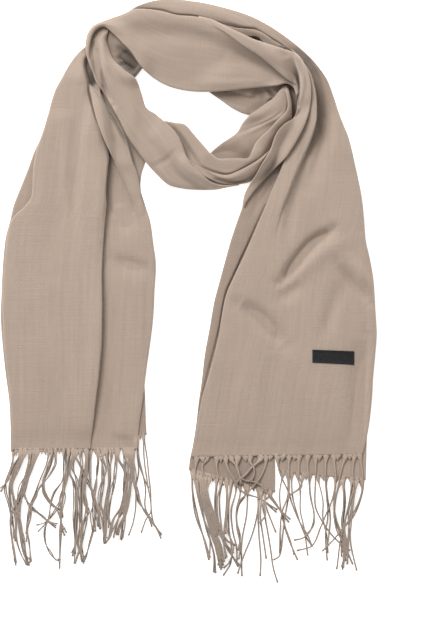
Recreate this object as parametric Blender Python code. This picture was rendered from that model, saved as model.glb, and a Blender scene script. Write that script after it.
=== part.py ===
"""A fringed pashmina shawl, wrapped once around a neck opening and laid flat.

The shawl lies on z = 0 with its length along Y: the two tails point to -Y and the neck
loop is at +Y.  Each stretch of the wound cloth is one closed solid, lofted through the
sections of a table: two edge points in plan and the height of the gathered cloth there.
Stretches are laid one after another, lowest first, and each settles 0.3 mm clear of the
ones that are already down.  The shell of a stretch holds its hidden inner layers.
"""
import math
from collections import namedtuple

import bmesh
import bpy
import numpy as np
from mathutils import Vector
from mathutils.bvhtree import BVHTree

MM = 0.001
COLLECTION = "pashmina_shawl"

# Clearances and wall, in millimetres
GAP = 0.35  # between a stretch and what it lies on
MIN_WALL = 1.2  # least height of a stretch over its own underside
THINNEST = 0.85  # the same, over the rise where the stretch tapers out
REACH = 3.0  # how far round a point the cloth feels what lies below
SLOPE = 0.55  # steepest fall of a bridging underside
LATTICE = 9  # clearance samples along each side of an underside cell
NEAR_CORNER = 0.12  # share from which a cell's corner is lifted for a sample in the cell
SETTLED = 0.002  # what an underside may still lack when it counts as clear
SKY = 200.0  # a height above everything

# Edge of a stretch: the fold's section, as shares of its height and of its roll
EDGE_ROLL = 0.8  # roll radius over the height of the stretch
WIDEST_ROLL = 0.42  # of the width of the stretch, so that both rolls fit
UNDER_TUCK = 0.5  # how far the underside starts inside the fold, over the roll
LOWER_LAYER = 0.26  # height of the lower layer's nose, over the height
NOTCH_IN = 0.30  # depth of the slit between two layers, over the roll
NOTCH_UP = 0.46
UPPER_LAYER = 0.68
UPPER_IN = 0.05
SHOULDER_IN = 0.38
SHOULDER_UP = 0.92
LAYER_IN = 0.10

# Fringe, in millimetres
BACKING_DEPTH = 2.6
BACKING_RISE = 1.5
BACKING_END = 0.003  # share of the hem that a backing leaves free at each end
STRAND_WIDTH = 1.3
STRAND_PITCH = 2.0
STRAND_CLEAR = 0.5  # under a strand's lowest point
STRAND_SAG = 16.0  # length in which a strand comes down to the ground
STRAND_STEPS = (0.0, 0.12, 0.36, 0.7, 1.0)  # where along a strand its points lie
STRAND_BOW = 0.18  # how late a strand turns towards its end, over its sideways run
STRAND_SPARE = 0.15  # on top of the gap, where a strand crosses cloth or strands
UNEVEN = 6.0  # half the spread of the strands' lengths

# Finishes, with colours as linear values
CLOTH_ROUGHNESS = 0.9
LABEL_ROUGHNESS = 0.6
TAUPE = (0.47, 0.375, 0.300, 1.0)
TAUPE_SHADE = (0.40, 0.315, 0.25, 1.0)
LABEL_BLACK = (0.012, 0.012, 0.013, 1.0)

# A section of a stretch, in millimetres: the plan points of its two edges, and its rise
Section = namedtuple("Section", "left_x left_y right_x right_y rise")

LEFT_TAIL_BACK = (
    (-160, 200, -138, 200, 2.0),
    (-168.5, 178, -140, 178, 2.6),
    (-176, 160, -142, 160, 3.0),
    (-183, 140, -142, 140, 3.0),
    (-191, 120, -142, 120, 3.0),
    (-199, 100, -140, 100, 3.0),
    (-205, 80, -138, 80, 3.0),
    (-210, 60, -136, 60, 3.0),
    (-213, 30, -134, 30, 3.0),
    (-214.5, 0, -133, 0, 3.0),
    (-215.5, -30, -133, -30, 3.0),
    (-212.5, -62, -133, -62, 3.0),
    (-209, -95, -133, -95, 3.0),
    (-205, -125, -133, -125, 2.8),
    (-203.5, -155, -133, -155, 2.2),
    (-203, -180, -133, -180, 1.6),
)

LEFT_TAIL_EDGE = (
    (-84, 96, -74, 97, 1.4),
    (-86, 60, -60, 62, 2.0),
    (-86, 20, -54, 22, 2.2),
    (-85, -20, -53, -20, 2.2),
    (-84, -62, -54, -62, 2.2),
    (-82, -100, -51.8, -100, 2.2),
    (-82, -130, -50.5, -130, 2.2),
    (-82, -150, -50, -150, 2.0),
    (-82, -164, -49, -164.5, 1.5),
)

LEFT_TAIL_INNER = (
    (-112, 284, -88, 290, 4.0),
    (-112, 265, -80, 268, 5.0),
    (-114, 245, -74, 246, 5.0),
    (-114, 225, -68, 224, 5.0),
    (-114, 205, -63, 204, 5.0),
    (-114, 185, -56, 184, 5.0),
    (-115, 165, -51, 165, 5.0),
    (-116, 150, -50.5, 150, 5.0),
    (-118, 135, -55, 134.5, 5.0),
    (-120, 118, -56, 117, 5.0),
    (-122, 100, -51, 100, 5.0),
    (-124, 80, -45, 80, 5.0),
    (-126, 55, -41.5, 55, 5.0),
    (-127, 30, -38.5, 32, 5.0),
    (-128, 0, -40, 0, 5.0),
    (-128, -30, -41.5, -30, 4.8),
    (-128, -60, -45, -60, 4.5),
    (-128, -90, -49.3, -90, 4.2),
    (-128, -120, -53, -120, 3.8),
    (-128, -148, -57, -148, 3.0),
    (-128, -168, -59, -168, 2.2),
    (-128, -182, -59.5, -181, 1.5),
)

LEFT_TAIL_FRONT = (
    (-116, 283, -97, 284, 5.0),
    (-127, 273, -98, 274, 6.0),
    (-137, 259.5, -99, 262, 7.0),
    (-145, 245, -101, 248, 8.0),
    (-153, 230, -101, 232, 8.0),
    (-158, 214, -100, 215, 8.0),
    (-162, 199, -98, 199, 8.0),
    (-166.5, 184, -95, 184, 8.0),
    (-171.5, 170, -92.5, 168, 8.0),
    (-175, 158, -91, 154, 8.0),
    (-177.5, 143, -92.5, 141, 8.0),
    (-178.5, 125, -94, 125, 7.5),
    (-180, 109, -94.5, 109, 7.0),
    (-187, 98, -95.5, 99, 7.0),
    (-198, 88, -96.5, 89, 7.0),
    (-205, 77, -97.5, 77, 7.0),
    (-208, 60, -98.7, 60, 7.0),
    (-210, 38, -100, 40, 6.5),
    (-212, 14, -100.8, 18, 6.5),
    (-213, -10, -100.3, -8, 6.5),
    (-212.5, -35, -100.5, -35, 6.5),
    (-210.5, -60, -101, -60, 6.0),
    (-207.5, -85, -103, -85, 6.0),
    (-205, -108, -105.5, -108, 5.5),
    (-203, -130, -108.3, -130, 5.0),
    (-201.5, -152, -110.8, -152, 4.0),
    (-201, -170, -113, -168, 2.6),
    (-201, -182, -114, -181, 1.6),
)

LEFT_TAIL_FOLD = (
    (-112.5, 238, -107.5, 236, 3.0),
    (-110, 230, -103.5, 228.5, 5.0),
    (-107.5, 217, -95.5, 214, 7.0),
    (-104.5, 203, -88, 202, 8.0),
    (-101, 188, -79.5, 190, 8.0),
    (-97, 175, -72, 175, 8.0),
    (-91, 160, -67.5, 162, 8.0),
    (-84.5, 147, -63.5, 148, 7.0),
    (-78, 135, -58.5, 135, 6.0),
    (-71.5, 123, -56.2, 123, 5.0),
    (-65, 111, -53.5, 110, 3.8),
    (-58, 98, -50.5, 98, 2.4),
    (-52, 86, -47.5, 88, 1.3),
)

ARCH_LAYER = (
    (-108, 300, -100, 268, 3.0),
    (-95, 304, -84, 256, 4.0),
    (-80, 300, -72, 246, 4.0),
    (-66, 284, -62.3, 245.5, 4.0),
    (-52, 266, -53.5, 257, 3.0),
)

NECK_LAYER = (
    (22, 240, 24, 229.3, 2.5),
    (35, 246, 37, 221.5, 5.0),
    (50, 248, 50, 213, 6.0),
    (66, 248, 66, 204.5, 6.0),
    (82, 248, 80, 202, 6.0),
    (100, 248, 96, 200, 5.0),
    (118, 246, 112, 196, 5.0),
    (134, 240, 128, 196, 4.0),
)

RIGHT_TAIL_BACK = (
    (112, 160, 124, 157, 1.8),
    (91, 140, 123, 136, 3.5),
    (75, 120, 116, 118, 4.0),
    (64, 98, 110, 98, 4.5),
    (57, 80, 104, 80, 4.5),
    (50, 59, 100, 58, 4.5),
    (43.5, 36, 96, 36, 4.5),
    (37, 12, 92, 12, 4.5),
    (30.5, -13, 90, -13, 4.5),
    (25.5, -42, 90, -42, 4.0),
    (20, -72, 92, -75, 3.6),
    (16.5, -102, 95, -102, 3.2),
    (13, -127, 97, -127, 3.0),
    (10, -153, 98, -153, 2.6),
    (6, -178, 99, -184, 2.2),
    (3, -192, 99.5, -209, 1.8),
    (1.5, -205, 99.5, -231, 1.5),
)

RIGHT_TAIL_SIDE = (
    (150, 196, 164, 194, 1.6),
    (142, 160, 178, 156, 2.4),
    (134, 112, 188, 110, 3.0),
    (122, 40, 198, 40, 3.0),
    (112, -10, 208, -18, 3.0),
    (106, -60, 212, -70, 3.0),
    (103.5, -115, 208.5, -120, 3.0),
    (102.5, -160, 205, -165, 2.4),
    (103, -188, 204, -196, 1.8),
    (104, -207, 203.5, -216.5, 1.5),
)

RIGHT_TAIL_FRONT = (
    (-66, 302, -76, 316, 2.5),
    (-50, 300, -57, 328, 5.0),
    (-20, 298, -26, 335, 7.0),
    (10, 296, 10, 332, 8.0),
    (38, 290, 40, 325.5, 8.0),
    (62, 282, 70, 316, 8.0),
    (86, 273, 95, 303, 8.0),
    (107, 265, 118, 287, 9.0),
    (124, 258, 137, 271, 10.0),
    (137.6, 252, 148, 259, 11.0),
    (142.0, 240, 159, 243, 12.0),
    (143.4, 226, 165.5, 226, 12.0),
    (143.0, 213, 170, 212, 12.0),
    (140.7, 201, 174, 200, 12.0),
    (135.0, 189.5, 178.5, 189, 12.0),
    (128.3, 177.5, 183, 178, 12.0),
    (120.2, 164, 187, 163, 12.0),
    (111.2, 150, 190, 150, 11.0),
    (103.5, 134, 193.5, 134, 10.0),
    (95, 115, 197.5, 115, 9.5),
    (86.5, 97, 200, 98, 9.0),
    (78, 78, 201.7, 80, 8.5),
    (69, 57, 203.5, 58, 8.0),
    (60, 37, 208, 38, 8.0),
    (50, 16, 212, 15, 7.5),
    (41.5, -4, 213.5, -3, 7.0),
    (37, -25, 214.5, -22, 7.0),
    (33.5, -47, 216, -48, 7.0),
    (28.5, -70, 214.5, -70, 6.5),
    (21.5, -96, 212, -97, 6.0),
    (15.5, -122, 210.5, -122, 5.5),
    (11, -147, 208.0, -147, 4.5),
    (7, -170, 204.0, -170, 3.0),
    (3, -190, 199.5, -187, 1.7),
)

NECK_SLIVER = (
    (41, 304.3, 42, 299, 1.5),
    (52, 301.8, 54, 295, 2.5),
    (65, 300.6, 66, 292, 3.5),
    (77, 299.2, 79, 291.5, 3.5),
    (87, 294.5, 85, 286, 3.5),
    (99, 286.3, 95, 279, 3.0),
    (111, 279.5, 107, 272, 2.0),
)

LOOP_RIGHT_ARM = (
    (112.5, 236.5, 116, 236, 4.6),
    (108, 229.5, 119.5, 226, 8.0),
    (101, 222, 120.5, 214, 10.3),
    (92, 216.5, 118, 202, 11.5),
    (82, 210, 109, 191, 11.5),
    (72, 204, 99, 181, 11.5),
    (64, 195.5, 90, 170, 10.3),
    (57, 184, 84, 158, 9.2),
    (50, 176, 76, 149, 8.0),
    (40, 170, 62, 144, 5.8),
    (30, 163, 46, 142, 4.6),
    (22, 158, 30, 144, 2.9),
)

LOOP_BOTTOM = (
    (-28, 196, -36, 178, 4.2),
    (-14, 193.5, -24, 164, 7.2),
    (-3, 190, -12, 152, 8.4),
    (8, 177, -2, 142, 9.6),
    (19, 164.5, 10, 137, 10.8),
    (28, 157.5, 22, 134, 10.8),
    (36, 152.8, 34, 131.5, 10.8),
    (46, 152.6, 46, 130.5, 10.8),
    (57, 153.5, 60, 135, 10.8),
    (68, 154, 74, 143, 10.8),
    (74, 162, 86, 152, 10.8),
    (79, 172.5, 96, 163, 9.6),
    (88, 182, 103, 176, 9.6),
    (99, 194, 110, 186, 8.4),
    (109, 203.5, 117, 194, 7.2),
    (117, 207, 123, 199, 4.8),
)

LOOP_SECOND_FOLD = (
    (2, 152, -4, 140, 2.9),
    (10, 144.5, 5, 134, 5.2),
    (20, 140.5, 16, 130, 6.9),
    (32, 135.8, 29, 126, 8.0),
    (44, 134, 43, 122.8, 8.0),
    (56, 138, 58, 123.3, 8.0),
    (68, 144.5, 72, 126, 6.9),
    (79, 152, 84, 136, 5.8),
    (89, 159.5, 93, 147, 4.6),
    (97, 166, 101, 155, 3.4),
)

LOOP_LEFT_ARM = (
    (-113, 288, -97, 298, 6.0),
    (-113.5, 275, -85, 288, 8.4),
    (-113, 262, -76, 272, 10.8),
    (-109, 247, -69, 256, 12.0),
    (-102, 234.5, -60.5, 241.5, 13.2),
    (-93, 221, -54, 224, 13.2),
    (-85, 207, -48.5, 210.5, 13.2),
    (-77, 191, -37, 201.5, 13.2),
    (-69, 176, -23.5, 190.5, 13.2),
    (-58.5, 161, -13, 180, 13.2),
    (-47.5, 147.5, -6, 167.5, 13.2),
    (-35.5, 135, 0, 157.5, 12.0),
    (-22, 123.3, 5.5, 147, 10.8),
    (-6, 118.8, 11.5, 138.5, 9.6),
    (8, 117.5, 17.5, 132.5, 8.4),
    (20, 117.2, 24, 127, 7.2),
    (33, 118, 33.5, 123.8, 4.8),
    (48, 121, 48, 123.4, 2.4),
)

NECK_BAND = (
    (-115.8, 283, -112, 283.5, 3.6),
    (-115.3, 291, -110.8, 291, 4.8),
    (-113, 299.5, -108.3, 297.5, 6.0),
    (-107, 306.5, -103.5, 301.8, 7.2),
    (-98.5, 308.6, -96.5, 303.2, 8.4),
    (-88, 312.5, -88, 297, 10.8),
    (-76, 317, -77, 286, 13.2),
    (-62, 323, -66, 274.5, 14.4),
    (-46, 324, -54, 260.5, 14.4),
    (-30, 322, -40, 247.5, 14.4),
    (-12, 317.5, -22, 237.2, 14.4),
    (8, 316.5, 0, 231.8, 14.4),
    (26, 312.5, 22, 229.3, 14.4),
    (42, 304.5, 44, 230, 14.4),
    (58, 297, 64, 232, 13.2),
    (74, 287, 84, 234, 12.0),
    (90, 275, 101, 234, 10.8),
    (106, 261, 113, 236.3, 9.6),
    (119, 249, 119.5, 238.8, 8.4),
    (126, 241, 123.5, 235, 6.0),
)

SHOULDER_FOLD = (
    (38, 304.0, 37, 300, 1.8),
    (48, 301, 50, 290, 3.6),
    (60, 296, 62, 280.5, 5.4),
    (73, 288.5, 76, 272, 7.2),
    (87, 283.8, 89, 262.8, 8.4),
    (101, 279.3, 101, 252.8, 9.6),
    (114, 275.8, 111.5, 243.7, 9.6),
    (124, 271.8, 119, 240, 10.8),
    (131, 263, 124.5, 238, 12.0),
    (136.5, 252, 127.5, 234, 12.0),
    (140.9, 239.5, 128.2, 226, 12.0),
    (142.2, 226, 127, 217, 12.0),
    (141.8, 213, 124.5, 208, 12.0),
    (139.4, 201.5, 119.5, 199.5, 12.0),
    (133.7, 190, 109, 191, 12.0),
    (127, 178.2, 101, 182, 12.0),
    (118.9, 164.8, 95.5, 170, 10.8),
    (109.6, 150.6, 90.5, 155.5, 10.8),
    (100, 141.0, 84, 145, 9.6),
    (90, 131.5, 78, 136, 8.4),
    (81, 121, 71.5, 126, 7.2),
    (73, 111.5, 65, 115, 6.0),
    (66.5, 102.5, 61.8, 104, 4.8),
    (63.5, 93, 61.5, 93, 2.4),
)

# A stretch: its node, sections, columns on top and underneath, layers seen at its edges,
# and the crown, the share of its rise that the middle keeps for a rounded top
Stretch = namedtuple("Stretch", "node sections columns under_columns layers crown")
STRETCHES = (
    ("left_tail_back", LEFT_TAIL_BACK, 4, 3, 1, 0.05),
    ("left_tail_edge", LEFT_TAIL_EDGE, 3, 2, 1, 0.05),
    ("left_tail_inner", LEFT_TAIL_INNER, 7, 3, 1, 0.10),
    ("left_tail_front", LEFT_TAIL_FRONT, 8, 5, 2, 0.12),
    ("left_tail_fold", LEFT_TAIL_FOLD, 4, 3, 1, 0.35),
    ("arch_layer", ARCH_LAYER, 4, 2, 1, 0.20),
    ("neck_layer", NECK_LAYER, 5, 2, 1, 0.20),
    ("right_tail_back", RIGHT_TAIL_BACK, 5, 3, 2, 0.10),
    ("right_tail_side", RIGHT_TAIL_SIDE, 5, 3, 1, 0.05),
    ("right_tail_front", RIGHT_TAIL_FRONT, 13, 6, 2, 0.12),
    ("neck_sliver", NECK_SLIVER, 3, 2, 1, 0.30),
    ("loop_right_arm", LOOP_RIGHT_ARM, 6, 3, 1, 0.35),
    ("loop_bottom", LOOP_BOTTOM, 5, 3, 1, 0.35),
    ("loop_second_fold", LOOP_SECOND_FOLD, 4, 2, 1, 0.40),
    ("loop_left_arm", LOOP_LEFT_ARM, 7, 4, 2, 0.30),
    ("neck_band", NECK_BAND, 7, 5, 2, 0.25),
    ("shoulder_fold", SHOULDER_FOLD, 5, 3, 1, 0.35),
)

# A crease in a stretch's top: its depth (below zero) or height in millimetres, how far it
# spreads to the left and right of its direction, and its run in plan, faded at both ends
CREASE_ENDS = 0.04  # share of the run at which the fade stops
CREASE_FADE = 0.6  # power of the fade: below 1 keeps the middle even
Crease = namedtuple("Crease", "node depth spread_left spread_right run")
CREASES = (
    # the raised lip of the shoulder's outer fold, and the valley beside it
    ("right_tail_front", -7.0, 10.0, 2.0,
     ((133, 262), (146, 240), (149, 215), (147, 195), (140, 172), (130, 150), (118, 122),
      (108, 95))),
    ("right_tail_front", 2.5, 2.0, 7.0,
     ((131, 262), (143, 240), (146, 215), (143, 195), (135, 172), (124, 150), (112, 122),
      (100, 92))),
    # the soft diagonal troughs that fan across the tail below the shoulder
    ("right_tail_front", -4.0, 9.0, 7.0, ((104, 26), (122, 42), (146, 60), (180, 80))),
    ("right_tail_front", 2.0, 9.0, 9.0, ((112, 8), (140, 32), (168, 55), (190, 66))),
    ("right_tail_front", -2.5, 10.0, 9.0, ((96, -6), (120, 8), (138, 20))),
    ("right_tail_front", -3.0, 8.0, 8.0, ((176, 36), (190, 18), (210, -8))),
    ("right_tail_front", -2.2, 9.0, 9.0, ((66, -16), (88, -28), (104, -48))),
    ("right_tail_front", -2.2, 9.0, 9.0, ((150, -60), (162, -30), (172, -4), (182, 16))),
    ("right_tail_front", -1.6, 10.0, 10.0, ((96, -70), (92, -120), (90, -175))),
    ("right_tail_front", -2.0, 9.0, 7.0, ((200, -60), (197, -110), (190, -160), (184, -180))),
    # the left tail: a fall towards its folded side, and one cross dip on the inner panel
    ("left_tail_front", -2.2, 12.0, 12.0, ((-106, 215), (-103, 185), (-100, 150), (-102, 120))),
    ("left_tail_front", -1.5, 12.0, 12.0, ((-150, 200), (-152, 150), (-150, 90), (-160, 20))),
    ("left_tail_inner", -2.2, 9.0, 12.0, ((-97, 47), (-80, 43), (-58, 37), (-44, 30))),
    ("left_tail_inner", -1.8, 12.0, 12.0, ((-82, 145), (-76, 110), (-72, 80))),
    # the groove along the loop's left arm under the arch
    ("loop_left_arm", -5.0, 4.0, 4.0, ((-107, 268), (-103, 252), (-97, 235), (-88, 213))),
    ("loop_left_arm", -4.0, 7.0, 9.0, ((-88, 292), (-82, 276), (-74, 262), (-66, 250))),
    # the dips at the two ends of the neck band
    ("neck_band", -3.0, 12.0, 14.0, ((-64, 312), (-40, 309), (-12, 306))),
    ("neck_band", -3.0, 10.0, 10.0, ((30, 300), (50, 284), (74, 266), (98, 248))),
    ("shoulder_fold", -3.0, 6.0, 8.0, ((116, 268), (120, 256), (121, 244))),
    ("loop_right_arm", -3.0, 5.0, 7.0, ((108, 208), (92, 196), (74, 188))),
    ("loop_right_arm", -2.5, 7.0, 7.0, ((76, 176), (62, 166), (48, 160))),
    ("loop_second_fold", -3.0, 2.5, 2.5,
     ((18, 136), (30, 129.5), (44, 126), (60, 126.5), (70, 130))),
)

# The woven label: its four corners in plan, its height and how many steps follow the cloth
LABEL_CORNERS = ((142, -67.5), (190, -69.5), (190, -85), (142, -82.5))
LABEL_RISE = 0.9
LABEL_STEPS = (8, 3)

# A fringe: its node, the sections whose last one it edges, and the number of strands
Fringe = namedtuple("Fringe", "node sections strands bunches")
# A bunch: where along the hem it is rooted (0 to 1), and where that root's strand ends
Bunch = namedtuple("Bunch", "root end_x end_y")
FRINGES = (
    ("fringe_left_back", LEFT_TAIL_BACK, 9,
     ((0.0, -216, -231), (0.12, -206, -300), (0.5, -178, -297), (0.8, -160, -270),
      (1.0, -142, -292))),
    ("fringe_left_edge", LEFT_TAIL_EDGE, 4,
     ((0.0, -82, -255), (0.45, -68, -272), (0.8, -48, -262), (1.0, -42, -263))),
    ("fringe_left_inner", LEFT_TAIL_INNER, 19,
     ((0.0, -124, -306), (0.2, -110, -309), (0.4, -100, -296), (0.55, -93, -289), (0.75, -80, -286),
      (0.9, -60, -280), (1.0, -34, -282))),
    ("fringe_left_front", LEFT_TAIL_FRONT, 24,
     ((0.0, -208, -262), (0.08, -198, -312), (0.2, -184, -315), (0.35, -172, -282), (0.5, -158, -290),
      (0.65, -150, -309), (0.8, -138, -306), (0.9, -130, -312), (1.0, -118, -311))),
    ("fringe_right_back", RIGHT_TAIL_BACK, 20,
     ((0.0, 22, -308), (0.15, 31, -324), (0.3, 40, -317), (0.5, 56, -326), (0.75, 80, -328),
      (1.0, 101, -334))),
    ("fringe_right_side", RIGHT_TAIL_SIDE, 16,
     ((0.0, 105, -309), (0.2, 122, -308), (0.4, 137, -300), (0.6, 160, -309), (0.8, 176, -317),
      (1.0, 197, -320))),
    ("fringe_right_front", RIGHT_TAIL_FRONT, 22,
     ((0.0, 12, -300), (0.15, 34, -305), (0.35, 66, -300), (0.5, 97, -278), (0.6, 116, -296),
      (0.75, 146, -296), (0.9, 172, -300), (1.0, 190, -305))),
)


def material(name, colour, roughness):
    """A Principled material with a plain colour."""
    made = bpy.data.materials.new(name)
    made.use_nodes = True
    shader = made.node_tree.nodes["Principled BSDF"]
    shader.inputs["Base Color"].default_value = colour
    shader.inputs["Roughness"].default_value = roughness
    shader.inputs["Metallic"].default_value = 0.0
    return made


class Ground:
    """What is already laid: the trees of the finished pieces, for reading heights."""

    def __init__(self):
        self.pieces = []

    def add(self, bm):
        """Adds a finished mesh, whose points are in millimetres."""
        places = np.array([v.co[:2] for v in bm.verts])
        self.pieces.append((BVHTree.FromBMesh(bm), places.min(0), places.max(0)))

    def height(self, x, y):
        """The highest surface at a place, or zero on the bare floor."""
        top = 0.0
        for tree, low, high in self.pieces:
            if low[0] <= x <= high[0] and low[1] <= y <= high[1]:
                hit = tree.ray_cast(Vector((x, y, SKY)), Vector((0, 0, -1)))[0]
                if hit is not None:
                    top = max(top, hit.z)
        return top

    def clear(self, x, y):
        """The lowest underside at a place: on the floor, or a gap above what lies there."""
        top = self.height(x, y)
        return top + GAP if top > 0 else 0.0


def first_heights(ground, x, y):
    """Heights clear of what lies within REACH of each point."""
    steps = [(0.0, 0.0)]
    steps += [(REACH * math.cos(a), REACH * math.sin(a)) for a in np.arange(8) * math.pi / 4]
    z = np.zeros_like(x)
    for place in np.ndindex(x.shape):
        z[place] = max(ground.clear(x[place] + dx, y[place] + dy) for dx, dy in steps)
    return z


def bridge(x, y, z):
    """Lifts neighbours so that the underside falls no steeper than SLOPE."""
    for _ in range(12):
        for axis in (0, 1):
            run = np.hypot(np.diff(x, axis=axis), np.diff(y, axis=axis)) * SLOPE
            if axis == 0:
                z[1:] = np.maximum(z[1:], z[:-1] - run)
                z[:-1] = np.maximum(z[:-1], z[1:] - run)
            else:
                z[:, 1:] = np.maximum(z[:, 1:], z[:, :-1] - run)
                z[:, :-1] = np.maximum(z[:, :-1], z[:, 1:] - run)
    return z


def cell_height(corners, a, b):
    """The lower of a four-cornered cell's two foldings at (a, b)."""
    z00, z10, z01, z11 = corners
    if a >= b:
        one = z00 + a * (z10 - z00) + b * (z11 - z10)
    else:
        one = z00 + b * (z01 - z00) + a * (z11 - z01)
    if a + b <= 1:
        other = z00 + a * (z10 - z00) + b * (z01 - z00)
    else:
        other = z11 + (1 - a) * (z01 - z11) + (1 - b) * (z10 - z11)
    return min(one, other)


def cell_needs(ground, x, y):
    """The clear height at a lattice of places in every cell, with the cell's corners."""
    steps = [k / LATTICE for k in range(LATTICE + 1)]
    needs = []
    for i, j in np.ndindex(x.shape[0] - 1, x.shape[1] - 1):
        cell = ((i, j), (i + 1, j), (i, j + 1), (i + 1, j + 1))
        for a, b in ((a, b) for a in steps for b in steps):
            share = ((1 - a) * (1 - b), a * (1 - b), (1 - a) * b, a * b)
            at_x = sum(s * x[c] for s, c in zip(share, cell))
            at_y = sum(s * y[c] for s, c in zip(share, cell))
            needs.append((a, b, cell, share, ground.clear(at_x, at_y)))
    return needs


def lift_clear(ground, x, y, z):
    """Raises the corners of each cell until the whole cell clears what lies below."""
    needs = cell_needs(ground, x, y)
    for _ in range(8):
        worst = 0.0
        for a, b, cell, share, need in needs:
            short = need - cell_height([z[c] for c in cell], a, b)
            if short <= SETTLED / 2:
                continue
            worst = max(worst, short)
            for s, c in zip(share, cell):
                if s > NEAR_CORNER:
                    z[c] += short
        if worst < SETTLED:
            break
    return z


def ease(z):
    """Softens steps, and never goes below what is given."""
    soft = z.copy()
    for _ in range(2):
        wide = np.pad(soft, 1, mode="edge")
        soft = (wide[:-2, 1:-1] + 2 * wide[1:-1, 1:-1] + wide[2:, 1:-1]) / 4
        wide = np.pad(soft, 1, mode="edge")
        soft = (wide[1:-1, :-2] + 2 * wide[1:-1, 1:-1] + wide[1:-1, 2:]) / 4
    return np.maximum(soft, z)


def width_of(section):
    """The distance between a section's two edges."""
    return math.hypot(section.right_x - section.left_x, section.right_y - section.left_y)


def across(section, u):
    """Plan points of a section at the shares u of its width."""
    u = np.asarray(u)
    x = section.left_x + (section.right_x - section.left_x) * u
    y = section.left_y + (section.right_y - section.left_y) * u
    return x, y


def nearest_on(run, x, y):
    """Where a run in plan passes closest to a place: distance, share of the run, and side."""
    points = np.array(run, dtype=float)
    legs = np.diff(points, axis=0)
    lengths = np.hypot(legs[:, 0], legs[:, 1])
    gone = 0.0
    found = []
    for start, leg, length in zip(points, legs, lengths):
        along = ((x - start[0]) * leg[0] + (y - start[1]) * leg[1]) / length**2
        along = min(max(along, 0.0), 1.0)
        dx = x - start[0] - leg[0] * along
        dy = y - start[1] - leg[1] * along
        side = leg[0] * dy - leg[1] * dx
        found.append((math.hypot(dx, dy), (gone + along * length) / lengths.sum(), side))
        gone += length
    return min(found)


def crease_offset(node, x, y):
    """The summed height of a node's creases at a place."""
    total = 0.0
    for crease in map(Crease._make, CREASES):
        if crease.node != node:
            continue
        distance, share, side = nearest_on(crease.run, x, y)
        spread = crease.spread_left if side > 0 else crease.spread_right
        share = min(max(share, CREASE_ENDS), 1 - CREASE_ENDS)
        fade = math.sin(math.pi * share) ** CREASE_FADE
        total += crease.depth * fade * math.exp(-((distance / spread) ** 2))
    return total


def edge_shares(width, roll, columns):
    """Shares of the width for the top's columns, two of them on each rolled edge."""
    shoulder = SHOULDER_IN * roll / width
    brow = roll / width
    inner = np.linspace(brow, 1 - brow, columns - 1)
    return np.concatenate(([shoulder], inner, [1 - shoulder]))


def edge_points(edge, inward, base, layers, section, roll):
    """The fold's own points at one edge, from the underside up, as (share, height)."""
    steps = ((0.0, NOTCH_UP),)
    if layers == 2:
        steps = ((LAYER_IN, LOWER_LAYER), (NOTCH_IN, NOTCH_UP), (UPPER_IN, UPPER_LAYER))
    step_in = inward * roll / width_of(section)
    return [(edge + step_in * depth, base + up * section.rise) for depth, up in steps]


def section_ring(section, under_u, under_z, top_u, top_z, layers, roll):
    """One closed ring of points: along the underside, up one edge, back over the top."""
    ring = list(zip(under_u, under_z))
    ring += edge_points(1.0, -1, under_z[-1], layers, section, roll)
    ring += list(zip(top_u, top_z))[::-1]
    ring += edge_points(0.0, 1, under_z[0], layers, section, roll)[::-1]
    x, y = across(section, np.array([point[0] for point in ring]))
    return np.stack([x, y, np.array([point[1] for point in ring])], axis=1)


def close(bm):
    """Makes triangles of a closed mesh's faces and turns them all outwards."""
    bmesh.ops.triangulate(bm, faces=bm.faces[:])
    bmesh.ops.recalc_face_normals(bm, faces=bm.faces[:])
    if bm.calc_volume(signed=True) < 0:
        bmesh.ops.reverse_faces(bm, faces=bm.faces[:])
    return bm


def loft(rings):
    """A closed mesh through the rings, capped at both ends."""
    bm = bmesh.new()
    layers = [[bm.verts.new(p) for p in ring] for ring in rings]
    for ring, following in zip(layers, layers[1:]):
        for k in range(len(ring)):
            n = (k + 1) % len(ring)
            bm.faces.new((ring[k], ring[n], following[n], following[k]))
    bm.faces.new(layers[0][::-1])
    bm.faces.new(layers[-1])
    return close(bm)


def stretch_mesh(ground, stretch):
    """The solid of one stretch, settled on what is already laid."""
    sections = [Section(*line) for line in stretch.sections]
    full_u = np.linspace(0, 1, stretch.under_columns + 1)
    x, y = np.array([across(section, full_u) for section in sections]).transpose(1, 0, 2)
    z = bridge(x, y, first_heights(ground, x, y))
    z = lift_clear(ground, x, y, z)
    smooth = ease(z)
    rings = []
    for k, section in enumerate(sections):
        width = width_of(section)
        roll = min(EDGE_ROLL * section.rise, WIDEST_ROLL * width)
        under_u = full_u.copy()
        under_u[0] = UNDER_TUCK * roll / width
        under_u[-1] = 1 - under_u[0]
        under_z = np.interp(under_u, full_u, z[k])
        top_u = edge_shares(width, roll, stretch.columns)
        swell = (1 - stretch.crown) + stretch.crown * np.sin(np.pi * top_u)
        swell[0] *= SHOULDER_UP
        swell[-1] *= SHOULDER_UP
        top_z = np.interp(top_u, full_u, smooth[k]) + section.rise * swell
        places = np.stack(across(section, top_u), axis=1)
        creased = top_z + np.array([crease_offset(stretch.node, *place) for place in places])
        thinnest = min(MIN_WALL, THINNEST * section.rise)
        top_z = np.maximum(creased, np.interp(top_u, full_u, z[k]) + thinnest)
        rings.append(section_ring(section, under_u, under_z, top_u, top_z, stretch.layers, roll))
    return loft(rings)


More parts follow.
